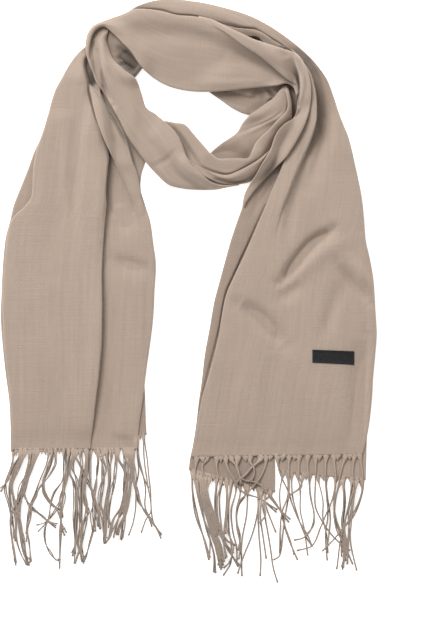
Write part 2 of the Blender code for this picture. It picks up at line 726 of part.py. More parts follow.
def label_mesh(ground):
    """A thin plate over the label's four corners, moved out from the cloth below it."""
    corners = np.array(LABEL_CORNERS, dtype=float)
    steps, lines = LABEL_STEPS
    u = np.linspace(0, 1, steps + 1)[:, None, None]
    v = np.linspace(0, 1, lines + 1)[None, :, None]
    top = corners[0] + (corners[1] - corners[0]) * u
    foot = corners[3] + (corners[2] - corners[3]) * u
    plan = top * (1 - v) + foot * v
    x, y = plan[..., 0], plan[..., 1]
    z = lift_clear(ground, x, y, first_heights(ground, x, y))
    bm = bmesh.new()
    under = [[bm.verts.new((x[i, j], y[i, j], z[i, j])) for j in range(lines + 1)]
             for i in range(steps + 1)]
    over = [[bm.verts.new((v.co.x, v.co.y, v.co.z + LABEL_RISE)) for v in line] for line in under]
    for i, j in np.ndindex(steps, lines):
        for sheet in (under, over):
            bm.faces.new((sheet[i][j], sheet[i + 1][j], sheet[i + 1][j + 1], sheet[i][j + 1]))
    rim = [(i, 0) for i in range(steps)] + [(steps, j) for j in range(lines)]
    rim += [(i, lines) for i in range(steps, 0, -1)] + [(0, j) for j in range(lines, 0, -1)]
    for (i, j), (m, n) in zip(rim, rim[1:] + rim[:1]):
        bm.faces.new((under[i][j], under[m][n], over[m][n], over[i][j]))
    return close(bm)


def strand_roots(section, strands):
    """Shares of the hem at which the strands are rooted."""
    margin = STRAND_PITCH / width_of(section)
    return np.linspace(margin, 1 - margin, strands)


def strand_paths(section, strands, bunches):
    """Centre lines of a fringe's strands in plan, side by side and never crossing."""
    bunches = [Bunch(*line) for line in bunches]
    roots = strand_roots(section, strands)
    shares = [bunch.root for bunch in bunches]
    uneven = UNEVEN * (1 + np.sin(np.arange(strands) * 2.4))
    end_x = np.interp(roots, shares, [bunch.end_x for bunch in bunches])
    end_y = np.interp(roots, shares, [bunch.end_y for bunch in bunches]) + uneven
    for k in range(1, strands):
        end_x[k] = max(end_x[k], end_x[k - 1] + STRAND_PITCH)
    paths = []
    for x0, hem_y, x1, y1 in zip(*across(section, roots), end_x, end_y):
        y0 = hem_y - GAP - BACKING_DEPTH
        turn = [s - STRAND_BOW * math.sin(math.pi * s) for s in STRAND_STEPS]
        paths.append([(x0 + (x1 - x0) * t, y0 + (y1 - y0) * s) for s, t in zip(STRAND_STEPS, turn)])
    return paths


def strand_heights(ground, path, base):
    """Undersides along a strand: down from its backing, over the cloth and strands below."""
    root_y, end_y = path[0][1], path[-1][1]
    fall = [max(0.0, 1 - s * (root_y - end_y) / STRAND_SAG) for s in STRAND_STEPS]
    heights = [max(base * f**1.5, STRAND_CLEAR) for f in fall]
    for _ in range(6):
        for k in range(len(path) - 1):
            (x0, y0), (x1, y1) = path[k], path[k + 1]
            for s in np.linspace(0, 1, 13):
                x, y = x0 + (x1 - x0) * s, y0 + (y1 - y0) * s
                need = max(ground.clear(x + dx, y) for dx in (-1.0, 0.0, 1.0))
                short = need + STRAND_SPARE - (heights[k] * (1 - s) + heights[k + 1] * s)
                if need > 0 and short > 0:
                    heights[k + 1] += short
                    if k:
                        heights[k] += short * (1 - s)
    return heights


def strand(bm, ring, path, heights):
    """Runs a four-sided strand on from the ring at its root."""
    half = STRAND_WIDTH / 2
    for (x, y), z in zip(path[1:], heights[1:]):
        over = z + STRAND_WIDTH
        places = ((x - half, y, over), (x - half, y, z), (x + half, y, z), (x + half, y, over))
        new = [bm.verts.new(place) for place in places]
        for a, b in ((0, 1), (1, 2), (2, 3), (3, 0)):
            bm.faces.new((ring[a], ring[b], new[b], new[a]))
        ring = new
    bm.faces.new(ring)


def fringe_mesh(ground, fringe):
    """A narrow backing strip along a hem with its strands, as one closed body."""
    section = Section(*fringe.sections[-1])
    hem = list(zip(*across(section, np.linspace(0, 1, 25))))
    reach = [GAP, GAP + BACKING_DEPTH]
    base = max([STRAND_CLEAR] + [ground.clear(x, y - out) for x, y in hem for out in reach])
    paths = strand_paths(section, fringe.strands, fringe.bunches)
    roots = strand_roots(section, fringe.strands)
    half = STRAND_WIDTH / 2 / width_of(section)
    cuts = [BACKING_END] + [root + half * side for root in roots for side in (-1, 1)]
    cuts.append(1 - BACKING_END)
    bm = bmesh.new()
    posts = []
    for x, hem_y in zip(*across(section, cuts)):
        back, front = hem_y - GAP, hem_y - GAP - BACKING_DEPTH
        post = [(x, back, base), (x, back, base + BACKING_RISE)]
        post += [(x, front, base + BACKING_RISE), (x, front, base)]
        posts.append([bm.verts.new(place) for place in post])
    for k, (post, following) in enumerate(zip(posts, posts[1:])):
        for a, b in ((0, 1), (1, 2), (3, 0)):
            bm.faces.new((post[a], post[b], following[b], following[a]))
        front_face = [post[2], post[3], following[3], following[2]]
        if k % 2 == 0:
            bm.faces.new(front_face)
        else:
            path = paths[k // 2]
            strand(bm, front_face, path, strand_heights(ground, path, base))
    bm.faces.new(posts[0])
    bm.faces.new(posts[-1][::-1])
    return close(bm)


def add_object(bm, node, collection, finish):
    """Turns a mesh in millimetres into a named object in metres."""
    bmesh.ops.scale(bm, vec=(MM, MM, MM), verts=bm.verts[:])
    mesh = bpy.data.meshes.new(node)
    bm.to_mesh(mesh)
    mesh.materials.append(finish)
    collection.objects.link(bpy.data.objects.new(node, mesh))


def build():
    """Lays the whole shawl, lowest stretch first."""
    for old in list(bpy.data.objects):
        bpy.data.objects.remove(old)
    collection = bpy.data.collections.new(COLLECTION)
    bpy.context.scene.collection.children.link(collection)
    ground = Ground()
    meshes = {}
    for stretch in map(Stretch._make, STRETCHES):
        meshes[stretch.node] = stretch_mesh(ground, stretch)
        ground.add(meshes[stretch.node])
    meshes["label"] = label_mesh(ground)
    for fringe in map(Fringe._make, FRINGES):
        meshes[fringe.node] = fringe_mesh(ground, fringe)
        ground.add(meshes[fringe.node])
    for node, bm in meshes.items():
        if node == "label":
            finish = material(node, LABEL_BLACK, LABEL_ROUGHNESS)
        else:
            finish = material(node, TAUPE_SHADE if "layer" in node else TAUPE, CLOTH_ROUGHNESS)
        add_object(bm, node, collection, finish)
        bm.free()


build()
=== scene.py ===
"""The look of the pashmina shawl: thin folded cloth, its fringe and its label.

Every stretch of cloth is a closed, flattened tube: a top, two rolled edges and an underside.
Its plan is a smooth curve through the sections of a table.  Stretches are laid one after
another, lowest first, each on the heights of what is already down, and their main creases
and laps are placed one by one.  Lengths are in millimetres until a mesh is made.
"""
import math
from collections import namedtuple

import bpy
import numpy as np
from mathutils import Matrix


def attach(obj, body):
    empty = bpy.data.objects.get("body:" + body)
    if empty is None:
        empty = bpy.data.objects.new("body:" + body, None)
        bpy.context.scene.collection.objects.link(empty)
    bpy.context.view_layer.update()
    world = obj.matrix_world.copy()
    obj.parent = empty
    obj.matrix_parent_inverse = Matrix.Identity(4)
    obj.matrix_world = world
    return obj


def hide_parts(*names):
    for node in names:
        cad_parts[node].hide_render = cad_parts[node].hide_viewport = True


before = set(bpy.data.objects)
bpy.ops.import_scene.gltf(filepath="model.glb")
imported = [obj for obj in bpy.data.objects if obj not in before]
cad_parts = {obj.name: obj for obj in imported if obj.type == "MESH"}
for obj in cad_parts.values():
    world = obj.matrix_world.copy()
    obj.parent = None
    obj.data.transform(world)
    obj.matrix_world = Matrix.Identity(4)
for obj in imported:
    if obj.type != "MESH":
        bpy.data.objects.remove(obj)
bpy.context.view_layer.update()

MM = 0.001

# Camera: straight down on the shawl, at the photograph's framing
VIEW_HEIGHT = 712.5  # length of the floor that the image's height takes in
VIEW_CENTRE = (36.2, -21.9)
CAMERA_HEIGHT = 6000.0
CAMERA_REACH = 40  # metres, past the far side of the cove from any view
SENSOR = 36.0

# The studio, in metres: the floor is flat up to where its cove starts to bend up
FLOOR_DROP = -0.0008
COVE_START = 7.0
COVE_BEND = 4.0
COVE_SIDES = 64
COVE_RINGS = 9
FLOOR_GREY = 0.93
FLOOR_GLOW = 0.6
WORLD = 0.5
WORLD_COLOUR = (1, 0.985, 0.965, 1)
# Each light: its name, power, size and place
LIGHTS = (("key", 157.0, 1.8, (-1.4, 2.4, 2.5)), ("fill", 5.5, 1.6, (1.7, 0.3, 0.6)))

# The grid of heights, one cell a millimetre
GRID_LEFT = -240
GRID_FOOT = -360
GRID_SIZE = (480, 720)

GAP = 0.3  # between a stretch and what it lies on
CLOSE = (2, 1.0)  # a close cover over what is laid: how far it widens that, and its softness
DRAPE = 0.6  # softness of a bridging stretch, over how far it bridges
ON_FLOOR = 0.05  # nothing lies below a place that is lower than this

# A section of a stretch: the plan x and y of its left edge, those of its right edge, and its
# rise, which stays what it was where a section leaves it out
LEFT_TAIL_BACK = (
    (-160, 200, -138, 200, 2), (-168.5, 178, -140, 178, 2.6), (-177, 160, -142, 160, 3),
    (-184.2, 140, -142, 140), (-192.2, 120, -142, 120), (-200, 100, -140, 100), (-205, 80, -138, 80),
    (-210, 60, -136, 60), (-213, 30, -134, 30), (-214.5, 0, -133, 0), (-215.5, -30, -133, -30),
    (-213.3, -62, -133, -62), (-209.8, -95, -133, -95), (-205.8, -125, -133, -125, 2.8),
    (-204.3, -155, -133, -155, 2.2), (-203.8, -184, -133, -184, 1.6),
)

LEFT_TAIL_EDGE = (
    (-84, 96, -74, 97, 1.4), (-86, 60, -60, 62, 2), (-86, 20, -54, 22, 2.2), (-85, -20, -53, -20),
    (-84, -62, -54, -62), (-82, -100, -50.8, -100), (-82, -130, -49.3, -130),
    (-82, -150, -48.8, -150, 2), (-82, -164, -47.8, -164.5, 1.5),
)

LEFT_TAIL_INNER = (
    (-103, 272, -90, 274, 2), (-102, 262, -82, 264, 4), (-102, 245, -74, 246, 5), (-104, 225, -68, 224),
    (-109, 205, -63, 204), (-114, 185, -56, 184), (-115, 165, -51, 165), (-116, 150, -49.3, 150),
    (-118, 135, -53.8, 134.5), (-120, 118, -54.8, 117), (-122, 100, -49.8, 100), (-124, 80, -43.8, 80),
    (-126, 55, -40.3, 55), (-127, 30, -37.3, 32), (-128, 0, -38.8, 0), (-128, -30, -40.3, -30, 4.8),
    (-128, -60, -43.8, -60, 4.5), (-128, -90, -48.1, -90, 4.2), (-128, -120, -51.8, -120, 3.8),
    (-128, -148, -55.8, -148, 3), (-128, -168, -57.8, -168, 2.2), (-128, -182, -58.3, -181, 1.5),
)

LEFT_TAIL_FRONT = (
    (-116, 283, -97, 284, 3), (-127, 273, -98, 274, 6), (-137, 259.5, -99, 262, 7),
    (-145, 245, -101, 248, 9.5), (-153, 230, -101, 232), (-158, 214, -100, 215), (-162, 199, -98, 199),
    (-166.5, 184, -95, 184), (-171.5, 170, -92.5, 168), (-175, 158, -91, 154),
    (-177.5, 143, -92.5, 141), (-178.5, 125, -94, 125, 9), (-180, 109, -94.5, 109, 8.8),
    (-187, 98, -93.9, 99, 8.6), (-198, 88, -94.9, 89, 8.4), (-205, 77, -95.9, 77, 8.2),
    (-208, 60, -97.1, 60, 8), (-210, 38, -98.4, 40, 7.7), (-212, 14, -99.2, 18, 7.4),
    (-213, -10, -98.7, -8, 7.1), (-212.5, -35, -98.9, -35, 6.8), (-211.3, -60, -99.4, -60, 6.5),
    (-208.3, -85, -101.4, -85, 6.2), (-205.8, -108, -103.9, -108, 5.5), (-203.8, -130, -106.7, -130, 5),
    (-202.3, -152, -109.2, -152, 4), (-201.8, -170, -111.4, -168, 2.6),
    (-201.8, -182, -112.4, -181, 1.6),
)

LEFT_TAIL_FOLD = (
    (-113, 237, -108, 233, 2), (-112.6, 231, -101, 228, 3), (-111.3, 224, -98, 222, 4),
    (-109, 212, -92, 211, 6.5), (-105.5, 199, -84, 200, 8.5), (-101, 186, -77, 188, 10),
    (-96, 173, -71, 175), (-90, 160, -67, 162), (-84, 147, -63.5, 148), (-78, 134, -58.5, 135, 7),
    (-72, 121, -56.2, 122, 6), (-66, 106, -53.5, 108, 5), (-60, 90, -50, 93, 4), (-54, 72, -45, 76, 3),
)

ARCH_LAYER = (
    (-100, 298, -96, 268, 1.5), (-93, 302, -84, 256, 5), (-80, 300, -72, 246, 8),
    (-68, 286, -63.3, 243.5, 9), (-52, 266, -52.5, 256),
)

NECK_LAYER = (
    (22, 240, 24, 228.3, 2.5), (35, 246, 37, 219.3, 6), (50, 248, 50, 210.3), (66, 248, 64, 203.6),
    (82, 248, 80, 201), (100, 248, 96, 200), (118, 246, 112, 196, 2), (134, 240, 128, 196, 1.5),
)

RIGHT_TAIL_BACK = (
    (112, 160, 124, 157, 1.8), (91, 140, 123, 136, 3.5), (75, 120, 116, 118, 4),
    (62.7, 98, 110, 98, 4.5), (55.7, 80, 104, 80), (48.7, 59, 107, 58), (42.2, 36, 107, 36),
    (35.7, 12, 106, 12), (29.2, -13, 104, -13), (24.2, -42, 101, -42, 4), (18.7, -72, 99, -75, 3.6),
    (15.2, -102, 95, -102, 3.2), (11.7, -127, 97, -127, 3), (8.7, -153, 98, -153, 2.6),
    (4.7, -178, 99, -184, 2.2), (1.7, -192, 99.5, -209, 1.8), (0.2, -205, 99.5, -231, 1.5),
)

RIGHT_TAIL_SIDE = (
    (150, 196, 164, 194, 1.6), (142, 160, 178, 156, 2.4), (134, 112, 188, 110, 3), (117, 40, 198, 40),
    (112, -10, 208, -18), (106, -60, 212, -70), (103.5, -115, 208.5, -120),
    (102.5, -160, 205, -165, 2.4), (103, -188, 204, -196, 1.8), (104, -207, 203.5, -216.5, 1.5),
)

RIGHT_TAIL_FRONT = (
    (-66, 306, -76, 316, 3), (-50, 308, -57, 328, 9), (-20, 307, -26, 335, 13), (10, 304, 10, 332, 14),
    (38, 295, 40, 325.5, 15), (62, 284, 70, 316), (86, 275, 95, 303), (107, 267, 118, 287),
    (122, 258, 137, 271, 14), (130, 248, 148, 259, 13), (134, 237, 159, 243, 12),
    (135.5, 225, 165.5, 226), (135, 213, 170, 212), (132, 201, 174, 200), (126.5, 189.5, 178.5, 189),
    (120, 177.5, 183, 178), (114, 164, 187, 163), (109.5, 150, 190, 150, 11),
    (103.5, 134, 193.5, 134, 10), (95, 115, 197.5, 115, 9.5), (88.3, 97, 200, 98, 9),
    (79.8, 78, 201.7, 80, 8.5), (70.8, 57, 203.5, 58, 8), (61.8, 37, 208, 38), (51.8, 16, 212, 15, 7.5),
    (43.3, -4, 213.5, -3, 7), (38.8, -25, 214.5, -22), (35.3, -47, 216, -48),
    (30.3, -70, 214.5, -70, 6.5), (23.3, -96, 212, -97, 6), (15.5, -122, 210.5, -122, 5.5),
    (11, -147, 208, -147, 4.5), (7, -170, 204, -170, 3), (3, -190, 199.5, -187, 1.7),
)

NECK_SLIVER = (
    (41, 304.3, 42, 299, 1.5), (52, 301.8, 54, 295, 2.5), (65, 300.6, 66, 292, 3.5),
    (77, 299.2, 79, 291.5), (87, 294.5, 85, 286), (99, 286.3, 95, 279, 3), (111, 279.5, 107, 272, 2),
)

LOOP_RIGHT_ARM = (
    (110.5, 237.5, 114.5, 235, 4.6), (104.5, 230.5, 116.5, 226, 8), (97.5, 222, 117, 214, 10.3),
    (89, 215.5, 114, 202, 11.5), (79, 208.5, 106, 191), (70, 202, 97, 181), (62, 193.5, 90, 170, 11),
    (56, 183, 84, 160, 10), (47.5, 176.3, 77, 152, 9), (37.5, 169.8, 64, 149, 8),
    (28.5, 162.3, 48, 148.5, 6), (22, 156, 33, 149, 2.9),
)

LOOP_BOTTOM = (
    (-28, 196, -36, 178, 3.4), (-14, 193.5, -24, 164, 5.8), (-3.6, 191.3, -12, 152, 6.7),
    (7.6, 178.8, -2, 142, 7.7), (18.6, 166.3, 10, 134, 9.5), (27, 157, 22, 131), (35, 152.4, 34, 129.5),
    (46, 152.8, 46, 128.5), (58, 152.8, 60, 133), (68.5, 152.8, 77, 139), (72.5, 160, 89, 148),
    (76.5, 169.5, 101, 164, 7.7), (83, 177, 104.5, 173), (92, 185, 110.5, 182, 6.7),
    (101, 195, 117, 190, 5.8), (108.5, 202.5, 118.5, 198.5, 5.2), (112.6, 207.5, 118.7, 208, 4.8),
    (113.6, 216, 118.2, 218, 4), (111.8, 226, 115.5, 228.5, 3.2), (109, 233.5, 111.5, 235.5, 2.5),
)

LOOP_SECOND_FOLD = (
    (-4, 158, -8, 152, 2.9), (2, 150, -3, 143, 4.5), (9, 144.5, 5, 136), (19, 139.5, 15, 130),
    (31, 135.3, 29, 124), (44, 133.5, 43, 121.5), (57, 138, 59, 122.8), (69, 144, 73, 127),
    (79, 150, 81, 140), (87, 156.5, 89, 152, 4), (94, 163, 95, 161, 3.4),
)

LOOP_LEFT_ARM = (
    (-107, 304, -93, 305, 3), (-113, 296, -92, 299, 3.5), (-117, 286, -94, 288, 4.5),
    (-117.8, 275, -91, 278, 5.5), (-114.5, 263, -86, 266, 7.5), (-109.6, 251, -74, 254, 9),
    (-105.6, 240, -60, 243, 10.3), (-96.2, 226, -53.5, 226), (-88, 212, -48.5, 211),
    (-79, 196, -37, 203), (-70, 178, -24.5, 192), (-58.5, 161, -13, 180), (-48, 147, -6.5, 167),
    (-36.2, 134, -2.5, 155, 9.4), (-22.6, 122.1, 4, 144, 8.4), (-6, 117.7, 11, 137, 7.5),
    (8, 116.5, 17.5, 132, 6.6), (20, 116.1, 24, 126.6, 5.6), (33, 116.8, 33.5, 122.8, 3.7),
    (46, 119.4, 46, 121.5, 2.4), (58, 121.6, 58, 123, 1.6),
)

NECK_BAND = (
    (-114, 262, -111.8, 262, 1.5), (-117.2, 274, -113.6, 274, 2.2), (-117.8, 285, -112.4, 284.5, 3.2),
    (-115.5, 295.5, -109.8, 293.5, 4.5), (-109, 304.5, -104.5, 300.5, 5.5),
    (-98.5, 309.4, -96.5, 303.2, 7.5), (-88, 313.3, -88, 297, 9), (-76, 317.3, -77, 286, 10),
    (-62.5, 322.6, -66, 274.5), (-46, 322.7, -55, 258.5), (-30, 320.2, -41, 245.5),
    (-12, 315.9, -22.5, 235.2), (8, 314.2, 0, 229.8), (26, 309.8, 22, 228.7, 10.5),
    (42, 302.6, 44, 230, 11.5), (58, 296, 64, 232), (74, 287, 84, 234), (90, 275, 101, 235.5, 10),
    (106, 261, 111, 238, 7), (119, 250, 116.5, 236.5, 4), (124, 241, 120.5, 233, 3),
    (126, 229, 123, 226, 2.5), (127, 219, 124.5, 218, 1.5),
)

SHOULDER_FOLD = (
    (12, 315.2, 10, 310, 1.5), (26, 311.5, 25, 305, 2.4), (38, 305.8, 38, 298, 3.2),
    (49, 300, 51, 289, 4.5), (60, 295, 63, 280, 6), (73, 288.8, 77, 271.5, 7.6),
    (87, 284.2, 90, 262, 8.8), (101, 279.8, 102, 251.5, 9.6), (114, 275.8, 112.5, 242.7, 10.2),
    (124, 271, 120, 238.5, 10.8), (131, 262.5, 125.5, 234, 6.5), (136.3, 252, 125.2, 225),
    (139.4, 239.5, 124.8, 216), (140.3, 226, 123.6, 206), (139.4, 213, 119.5, 197.8, 3.5),
    (137, 201.5, 111.5, 192.8, 5), (132.5, 189, 103.5, 185, 6), (127, 177.8, 98.3, 176),
    (119.2, 164.5, 94.5, 164.5), (110.2, 151.6, 89.3, 154.5, 5), (100, 141.6, 83.5, 145, 3.5),
    (90, 131.5, 77.5, 134), (81, 121.5, 70.8, 124, 4.5), (73, 111.5, 64.8, 113, 4),
    (66.5, 101.5, 62.2, 102.5, 3.5), (63.2, 90, 61, 90, 2.8),
)

# An edge of a stretch: the share of the rise that it keeps, in how many millimetres it comes
# down to that, and the width of its roll
Edge = namedtuple("Edge", "share reach roll")
LAID = Edge(0.95, 12, 2.2)
FOLDED = Edge(0.94, 12, 2.5)
CRISP = Edge(0.95, 8, 1.8)
SOFT = Edge(0.90, 8, 2.0)
LOW = Edge(0.75, 6, 1.8)

# A stretch: its node, sections, layers seen at its edges, its left and right edges, how far it
# bridges what lies below, the lengths in which its two ends sink into that, how it is held,
# its cloth (the face, or a darker copy that paints shade onto under layers lying in shadow),
# how much painted shade darkens it deep in a hollow, and the stretches that it lies on
Stretch = namedtuple("Stretch", "node sections layers left right bridge start end held side dark on")
STRETCHES = (
    ("left_tail_back", LEFT_TAIL_BACK, 1, LAID, LAID, 4, 0, 0, "laid", "face", 0.33, ()),
    ("left_tail_edge", LEFT_TAIL_EDGE, 1, LAID, LAID, 4, 0, 0, "laid", "painted_shade", 0.33, ()),
    ("left_tail_inner", LEFT_TAIL_INNER, 1, FOLDED, FOLDED, 4, 0, 0, "folded", "face", 0.35,
     ("left_tail_edge",)),
    ("left_tail_front", LEFT_TAIL_FRONT, 2, FOLDED, Edge(0.8, 10, 1.8), 5, 0, 0, "folded", "face",
     0.9, ("left_tail_back", "left_tail_inner")),
    ("left_tail_fold", LEFT_TAIL_FOLD, 1, Edge(0.8, 5, 1.8), SOFT, 4, 0, 45, "folded", "face", 0.9,
     ("left_tail_inner", "left_tail_front")),
    ("arch_layer", ARCH_LAYER, 1, LOW, LOW, 4, 0, 0, "gathered", "painted_shade", 0.9,
     ("left_tail_inner",)),
    ("neck_layer", NECK_LAYER, 1, SOFT, SOFT, 4, 0, 0, "gathered", "painted_shade", 0.25, ()),
    ("right_tail_back", RIGHT_TAIL_BACK, 2, FOLDED, LAID, 4, 0, 0, "folded", "painted_shade", 0.33, ()),
    ("right_tail_side", RIGHT_TAIL_SIDE, 1, LAID, LAID, 4, 0, 0, "laid", "face", 0.33,
     ("right_tail_back",)),
    ("right_tail_front", RIGHT_TAIL_FRONT, 2, CRISP, Edge(1.0, 4, 1.2), 6, 0, 0, "folded", "face",
     0.33, ("right_tail_back", "right_tail_side")),
    ("neck_sliver", NECK_SLIVER, 1, Edge(0.95, 3, 1.0), LOW, 4, 8, 8, "gathered", "face", 0.33,
     ("right_tail_front",)),
    ("loop_right_arm", LOOP_RIGHT_ARM, 1, SOFT, LOW, 5, 0, 0, "gathered", "face", 0.5,
     ("neck_layer",)),
    ("loop_bottom", LOOP_BOTTOM, 1, Edge(0.95, 3, 1.6), Edge(0.97, 3, 1.2), 5, 0, 10, "gathered",
     "face", 0.1, ("loop_right_arm", "right_tail_front")),
    ("loop_second_fold", LOOP_SECOND_FOLD, 1, Edge(0.6, 4, 1.5), LOW, 4, 10, 10, "gathered",
     "face", 0.6, ("loop_bottom",)),
    ("loop_left_arm", LOOP_LEFT_ARM, 2, Edge(0.8, 6, 2.0), SOFT, 6, 0, 6, "gathered", "face", 0.5,
     ("left_tail_front", "left_tail_fold", "arch_layer", "loop_bottom")),
    ("neck_band", NECK_BAND, 2, Edge(0.93, 5, 1.3), Edge(0.6, 30, 2.0), 8, 14, 8, "gathered",
     "face", 0.15, ("loop_left_arm", "right_tail_front", "loop_right_arm")),
    ("shoulder_fold", SHOULDER_FOLD, 1, Edge(0.85, 4, 1.2), Edge(0.95, 3, 1.2), 5, 45, 12,
     "folded", "face", 0.7, ("neck_band", "right_tail_front", "loop_bottom")),
)
EDGE_STEPS = 5  # points on each half of a rolled layer
UPPER = 4  # points of an edge, from its top down, on which others lie
LAYER_SLIT = 0.28  # depth of the slit between two layers at an edge, over the roll
ROLL_RISE = 1.1  # the widest roll, over the rise there
WIDEST_ROLL = 0.42  # and over the width there
ROW_STEP = 2.0  # along a stretch
COLUMN_STEP = 1.2  # across its top
UNDER_STEP = 7.0  # across its underside
LEAST_RISE = 0.8
THINNEST = (0.7, 1.5)  # the least thickness, over the rise there, and the most that this asks
# where shade is painted into the cloth's colour deep in hollows
HOLLOW_REACH = (9, 2.0)  # how far round a place higher cloth is looked for, and how softly
HOLLOW_DEPTH = (6.0, 12.0)  # how deep a hollow starts, and how much deeper it is a full one
SINK = 1.2  # how far an end goes into what lies below
HEM = 1.7  # thickness of a tail at its hem
HEM_TAPER = 26.0  # length over which it thins to that
NARROWEST = 11.0  # the least width of a cut

# Slow unevenness of the cloth, in full where a stretch rises this much
RIPPLE = 0.8
RIPPLE_SIZE = 12
RIPPLE_RISE = 4

# Creases in each stretch's top: the depth (below zero) or height of each, how far it spreads to
# the left and right of its direction, and its run in plan, faded at both ends
CREASES = {
    "right_tail_front": (
        # the valleys that run down from the shoulder
        (-1.5, 12, 10, ((136, 150), (128, 125), (120, 100), (116, 78))),
        (-6.5, 9, 7,
         ((141, 262), (152, 242), (157, 218), (157, 192), (153, 166), (146, 142), (138, 118))),
        # the diagonal troughs and ridges that fan across the middle of the tail
        (-14, 7, 5, ((106, 10), (113, 18), (122, 29), (132, 42), (143, 54), (155, 63), (166, 70))),
        (2.5, 6, 10, ((125, 16), (143, 35), (163, 50), (187, 62))),
        (-4, 9, 9, ((102, -10), (116, -1), (132, 10))),
        (-5, 7, 5, ((170, 32), (185, 13), (195, 2), (207, -13))),
        (3, 5, 7, ((188, 38), (199, 20), (207, 4))),
        (-8, 9, 9, ((58, -14), (84, -32), (110, -62))),
        # shallow dips towards the hem, and the fall to the outer edge
        (-3, 9, 9, ((150, -60), (162, -30), (172, -4), (182, 16))),
        (-2.2, 10, 10, ((96, -70), (92, -120), (90, -175))),
        (-6.5, 5, 12, ((204, -50), (200, -100), (197, -150), (192, -186))),
        # where it dips to the neck band's upper rim, and the narrow folds beyond
        (-5, 9, 9, ((-50, 338), (-10, 339), (30, 334), (62, 324), (86, 312))),
        (-2.5, 1.4, 2.2,
         ((-66, 325), (-50, 323.8), (-30, 321.4), (-15, 316.8), (5, 315.2), (22, 311.6), (38, 305.8),
          (46, 303))),
        (-5.5, 2.2, 1.3,
         ((36, 306.5), (52, 303), (62, 300.5), (75, 299.2), (81, 296), (95, 287.3), (110, 277.5),
          (122, 270), (134, 259))),
        (-9, 2.5, 3, ((62, 293), (70, 291.5), (78, 289), (88, 285))),
    ),
    "left_tail_front": (
        # ridges and the hollow along its inner side, and a slight trough down its middle
        (4, 3, 14, ((-107, 205), (-99, 175), (-94, 150), (-97, 110), (-101, 60))),
        (3, 5, 9, ((-119, 276), (-122, 262), (-121, 250), (-119, 235))),
        (-16, 9, 2.5, ((-116.5, 265), (-115.5, 257), (-114, 250), (-112, 243), (-109, 233))),
        (-5, 2.5, 1.5, ((-114.5, 238), (-113.5, 228), (-110.5, 216), (-107, 204), (-103, 193))),
        (4, 3, 12, ((-99, 40), (-99.5, -20), (-102, -75), (-106, -120), (-111, -172))),
        (-2, 12, 12, ((-150, 200), (-152, 150), (-150, 90), (-160, 20))),
    ),
    "left_tail_inner": (
        # one cross dip, and the shaded channels on both sides of the fold over it
        (-4, 8, 12, ((-88, 37), (-76, 33), (-58, 28), (-44, 21))),
        (-16, 9, 8, ((-58, 190), (-58, 165), (-56, 146), (-55, 128), (-52, 108))),
        (-16, 15, 14, ((-95, 185), (-88, 155), (-82, 128), (-77, 104), (-73, 82))),
    ),
    "left_tail_fold": (
        (-14, 2, 4,
         ((-113, 248), (-107.5, 239), (-98, 225.5), (-89, 212), (-80, 196), (-71, 178), (-60, 162))),
    ),
    "loop_left_arm": (
        # its grooves and ridge under the arch, and a slight crease lower down
        (-17, 4.5, 4, ((-109, 282), (-106, 266), (-102, 250), (-96, 234), (-88, 213))),
        (2.5, 5, 3, ((-95, 296), (-98, 286), (-98, 272), (-93, 252), (-87, 232), (-80, 212))),
        (-5, 4, 4, ((-92, 302), (-92, 292), (-90, 281), (-86, 270), (-82, 262))),
        (-1.5, 2.5, 3, ((-44, 141), (-34, 146), (-24, 152), (-14, 162))),
    ),
    "arch_layer": (
        # the pit under the arch, with its two small pleats
        (-16, 6, 6, ((-77, 276), (-70, 268), (-63, 261), (-57, 256))),
        (-3, 1.6, 1.6, ((-68, 266), (-74, 261), (-82, 259))),
        (-2.5, 1.6, 1.6, ((-70, 272), (-78, 268), (-84, 267))),
    ),
    "neck_band": (
        # its lower rim, its broad swell and the shallow hollows above that
        (2, 5, 6, ((0, 240), (20, 238), (45, 238), (70, 239), (98, 241))),
        (6, 12, 20, ((-64, 286), (-42, 290), (-20, 287), (0, 284), (22, 277), (44, 266))),
        (-2.5, 8, 20, ((-84, 292), (-62, 300), (-40, 303), (-20, 300), (6, 297))),
        (-1.5, 3, 9, ((28, 300), (44, 290), (58, 278), (74, 265), (90, 253))),
    ),
    "shoulder_fold": (
        # the valley along its inner side, and the ridge beside that
        (-13, 2, 11, ((118, 270), (121.5, 260), (125, 249), (126.5, 238), (126, 226), (125, 214))),
        (3, 2.5, 3, ((124, 271), (129, 258), (131, 242), (130, 226), (127, 210))),
    ),
    "loop_right_arm": (
        (-4, 3, 6, ((106, 206), (94, 200), (80, 193), (66, 187), (56, 182))),
        (2.5, 3, 5, ((104, 199), (92, 194), (80, 188), (66, 181))),
        (-8, 15, 4, ((26, 160), (36, 154), (50, 153), (64, 153), (74, 160))),
    ),
    "loop_bottom": (
        (-6, 3, 6, ((-22, 190), (-15, 183), (-4, 168), (4, 156), (10, 148))),
        (-3, 2, 3, ((8, 150), (16, 142), (30, 136), (46, 133), (62, 139), (78, 148))),
    ),
    "loop_second_fold": (
        (-5, 2, 2,
         ((8, 145), (14, 140), (22, 134.5), (32, 129.2), (44, 126), (56, 126), (64, 128), (72, 132))),
    ),
    "neck_layer": (
        (-14, 5, 6, ((28, 229), (40, 227), (52, 222.5), (66, 217.5), (82, 215))),
        (-9, 7, 5, ((79, 234), (80, 225), (79, 217), (72, 208))),
        (-5, 2, 3, ((88, 236), (94, 228), (98, 221), (88, 214))),
    ),
    "right_tail_back": (
        # where it comes out from below the tail's front
        (-4, 2, 1.4,
         ((88, 98), (70.5, 58), (51.5, 16), (43, -5), (35, -48), (22.5, -97), (10.5, -148), (3, -184))),
        (-3, 6, 8, ((106, 142), (92, 124), (80, 104), (72, 86))),
    ),
}
CREASE_FADE = 0.6  # power of the fade: below 1 keeps the middle even
CREASE_END = 0.04  # the share of its run, at either end, in which a crease fades no further
LAP_END = 0.02  # and a lap
RUN_STEPS = 6  # legs to a run, for each of its points

